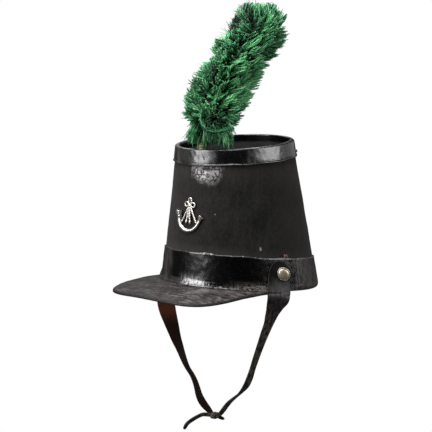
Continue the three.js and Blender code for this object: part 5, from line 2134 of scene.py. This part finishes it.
@dataclass
class Studio:
    """Camera, pale floor, pale walls and soft lamps."""

    camera_at: Colour = (0.62307, -0.91457, 0.12386)
    camera_right: Colour = (0.80312882, 0.59019677, 0.08155901)
    camera_up: Place = (-0.09296991, -0.01107077, 0.99560737)
    lens: float = 79.48
    floor_height: float = -0.3
    floor_reach: float = 30.0
    fill: float = 0.014
    lamps: tuple[tuple[str, Softbox], ...] = (
        ("left_softbox", Softbox(-19.5, 15, 1.7, 1.04, 1.24, 27.0)),
        ("left_inner_wing", Softbox(5, 4, 1.7, 0.45, 0.3, 1.2)),
        ("left_outer_wing", Softbox(-64, 14, 1.7, 1.1, 1.1, 1.3)),
        ("right_softbox", Softbox(113, 20, 1.7, 1.2, 0.85, 13.0)),
        ("right_inner_wing", Softbox(84, 12, 1.7, 0.4, 0.6, 0.5)),
        ("side_softbox", Softbox(163, 18, 1.7, 1.6, 0.8, 1.5)),
        ("overhead_softbox", Softbox(5, 66, 1.7, 1.3, 1.3, 38.0)),
        ("rear_softbox", Softbox(232, 52, 1.7, 1.1, 1.1, 12.0)),
    )

    def camera(self) -> None:
        """Sets up the camera, level shift zero, with its three axes given."""
        lens = bpy.data.cameras.new("camera")
        lens.lens, lens.sensor_width, lens.sensor_fit = self.lens, 36.0, "HORIZONTAL"
        lens.clip_start, lens.clip_end = 0.05, 100.0
        eye = bpy.data.objects.new("camera", lens)
        right, up = Vector(self.camera_right).normalized(), Vector(self.camera_up).normalized()
        turn = Matrix((right, up, right.cross(up).normalized())).transposed().to_4x4()
        eye.matrix_world = Matrix.Translation(Vector(self.camera_at)) @ turn
        bpy.context.scene.collection.objects.link(eye)
        bpy.context.scene.camera = eye

    def floor(self) -> None:
        """A wide pale floor: it looks evenly white and throws little light back up."""
        mesh = bpy.data.meshes.new("floor")
        r, z = self.floor_reach, self.floor_height
        mesh.from_pydata([(-r, -r, z), (r, -r, z), (r, r, z), (-r, r, z)], [], [(0, 1, 2, 3)])
        pen = Pen(bpy.data.materials.new("pale_floor"))
        paper = pen.node("ShaderNodeBsdfDiffuse", None, {"Color": (0.06, 0.06, 0.06)})
        white = pen.node("ShaderNodeEmission", None, {"Color": (1.0, 1.0, 1.0), "Strength": 1.0})
        pen.two_ways(white, paper, "ShaderNodeOutputMaterial")
        mesh.materials.append(pen.owner)
        ground = bpy.data.objects.new("floor", mesh)
        bpy.context.scene.collection.objects.link(ground)
        ground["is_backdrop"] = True

    def walls(self) -> None:
        """An even white surround to look at, and a dimmer one to light with."""
        world = bpy.data.worlds.new("studio")
        pen = Pen(world)
        dim = pen.node("ShaderNodeBackground", None, {"Color": (0.95, 0.98, 1.0), "Strength": self.fill})
        white = pen.node("ShaderNodeBackground", None, {"Color": (1.0, 1.0, 1.0)})
        pen.two_ways(white, dim, "ShaderNodeOutputWorld")
        bpy.context.scene.world = world

    def build(self) -> None:
        """Sets the whole studio up, with plain colours."""
        bpy.context.scene.view_settings.view_transform = "Standard"
        bpy.context.scene.view_settings.look = "None"
        self.camera()
        self.floor()
        self.walls()
        for name, lamp in self.lamps:
            lamp.place(name)
            LOG.info("%s: %.1f W", name, lamp.power)


def corners(box: Any) -> list[list[float]]:
    """A box's two corners as plain lists."""
    return [[float(v) for v in corner] for corner in box]


def main() -> None:
    """Loads the frame, builds every piece in order and works out both boxes."""
    logging.basicConfig(level=logging.INFO, format="%(name)s %(message)s")
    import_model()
    cad_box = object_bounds()
    Studio().build()
    Crown().build()
    Peak().build()
    ChinStrap(Side.LEFT, LEFT_ROWS).build()
    ChinStrap(Side.RIGHT, RIGHT_ROWS, swing=13.0, start_turn=116.0).build()
    Knot().build()
    Badge().build()
    Plume().build()
    {"cad": corners(cad_box), "visual": corners(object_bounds())}


if __name__ == "__main__":
    main()
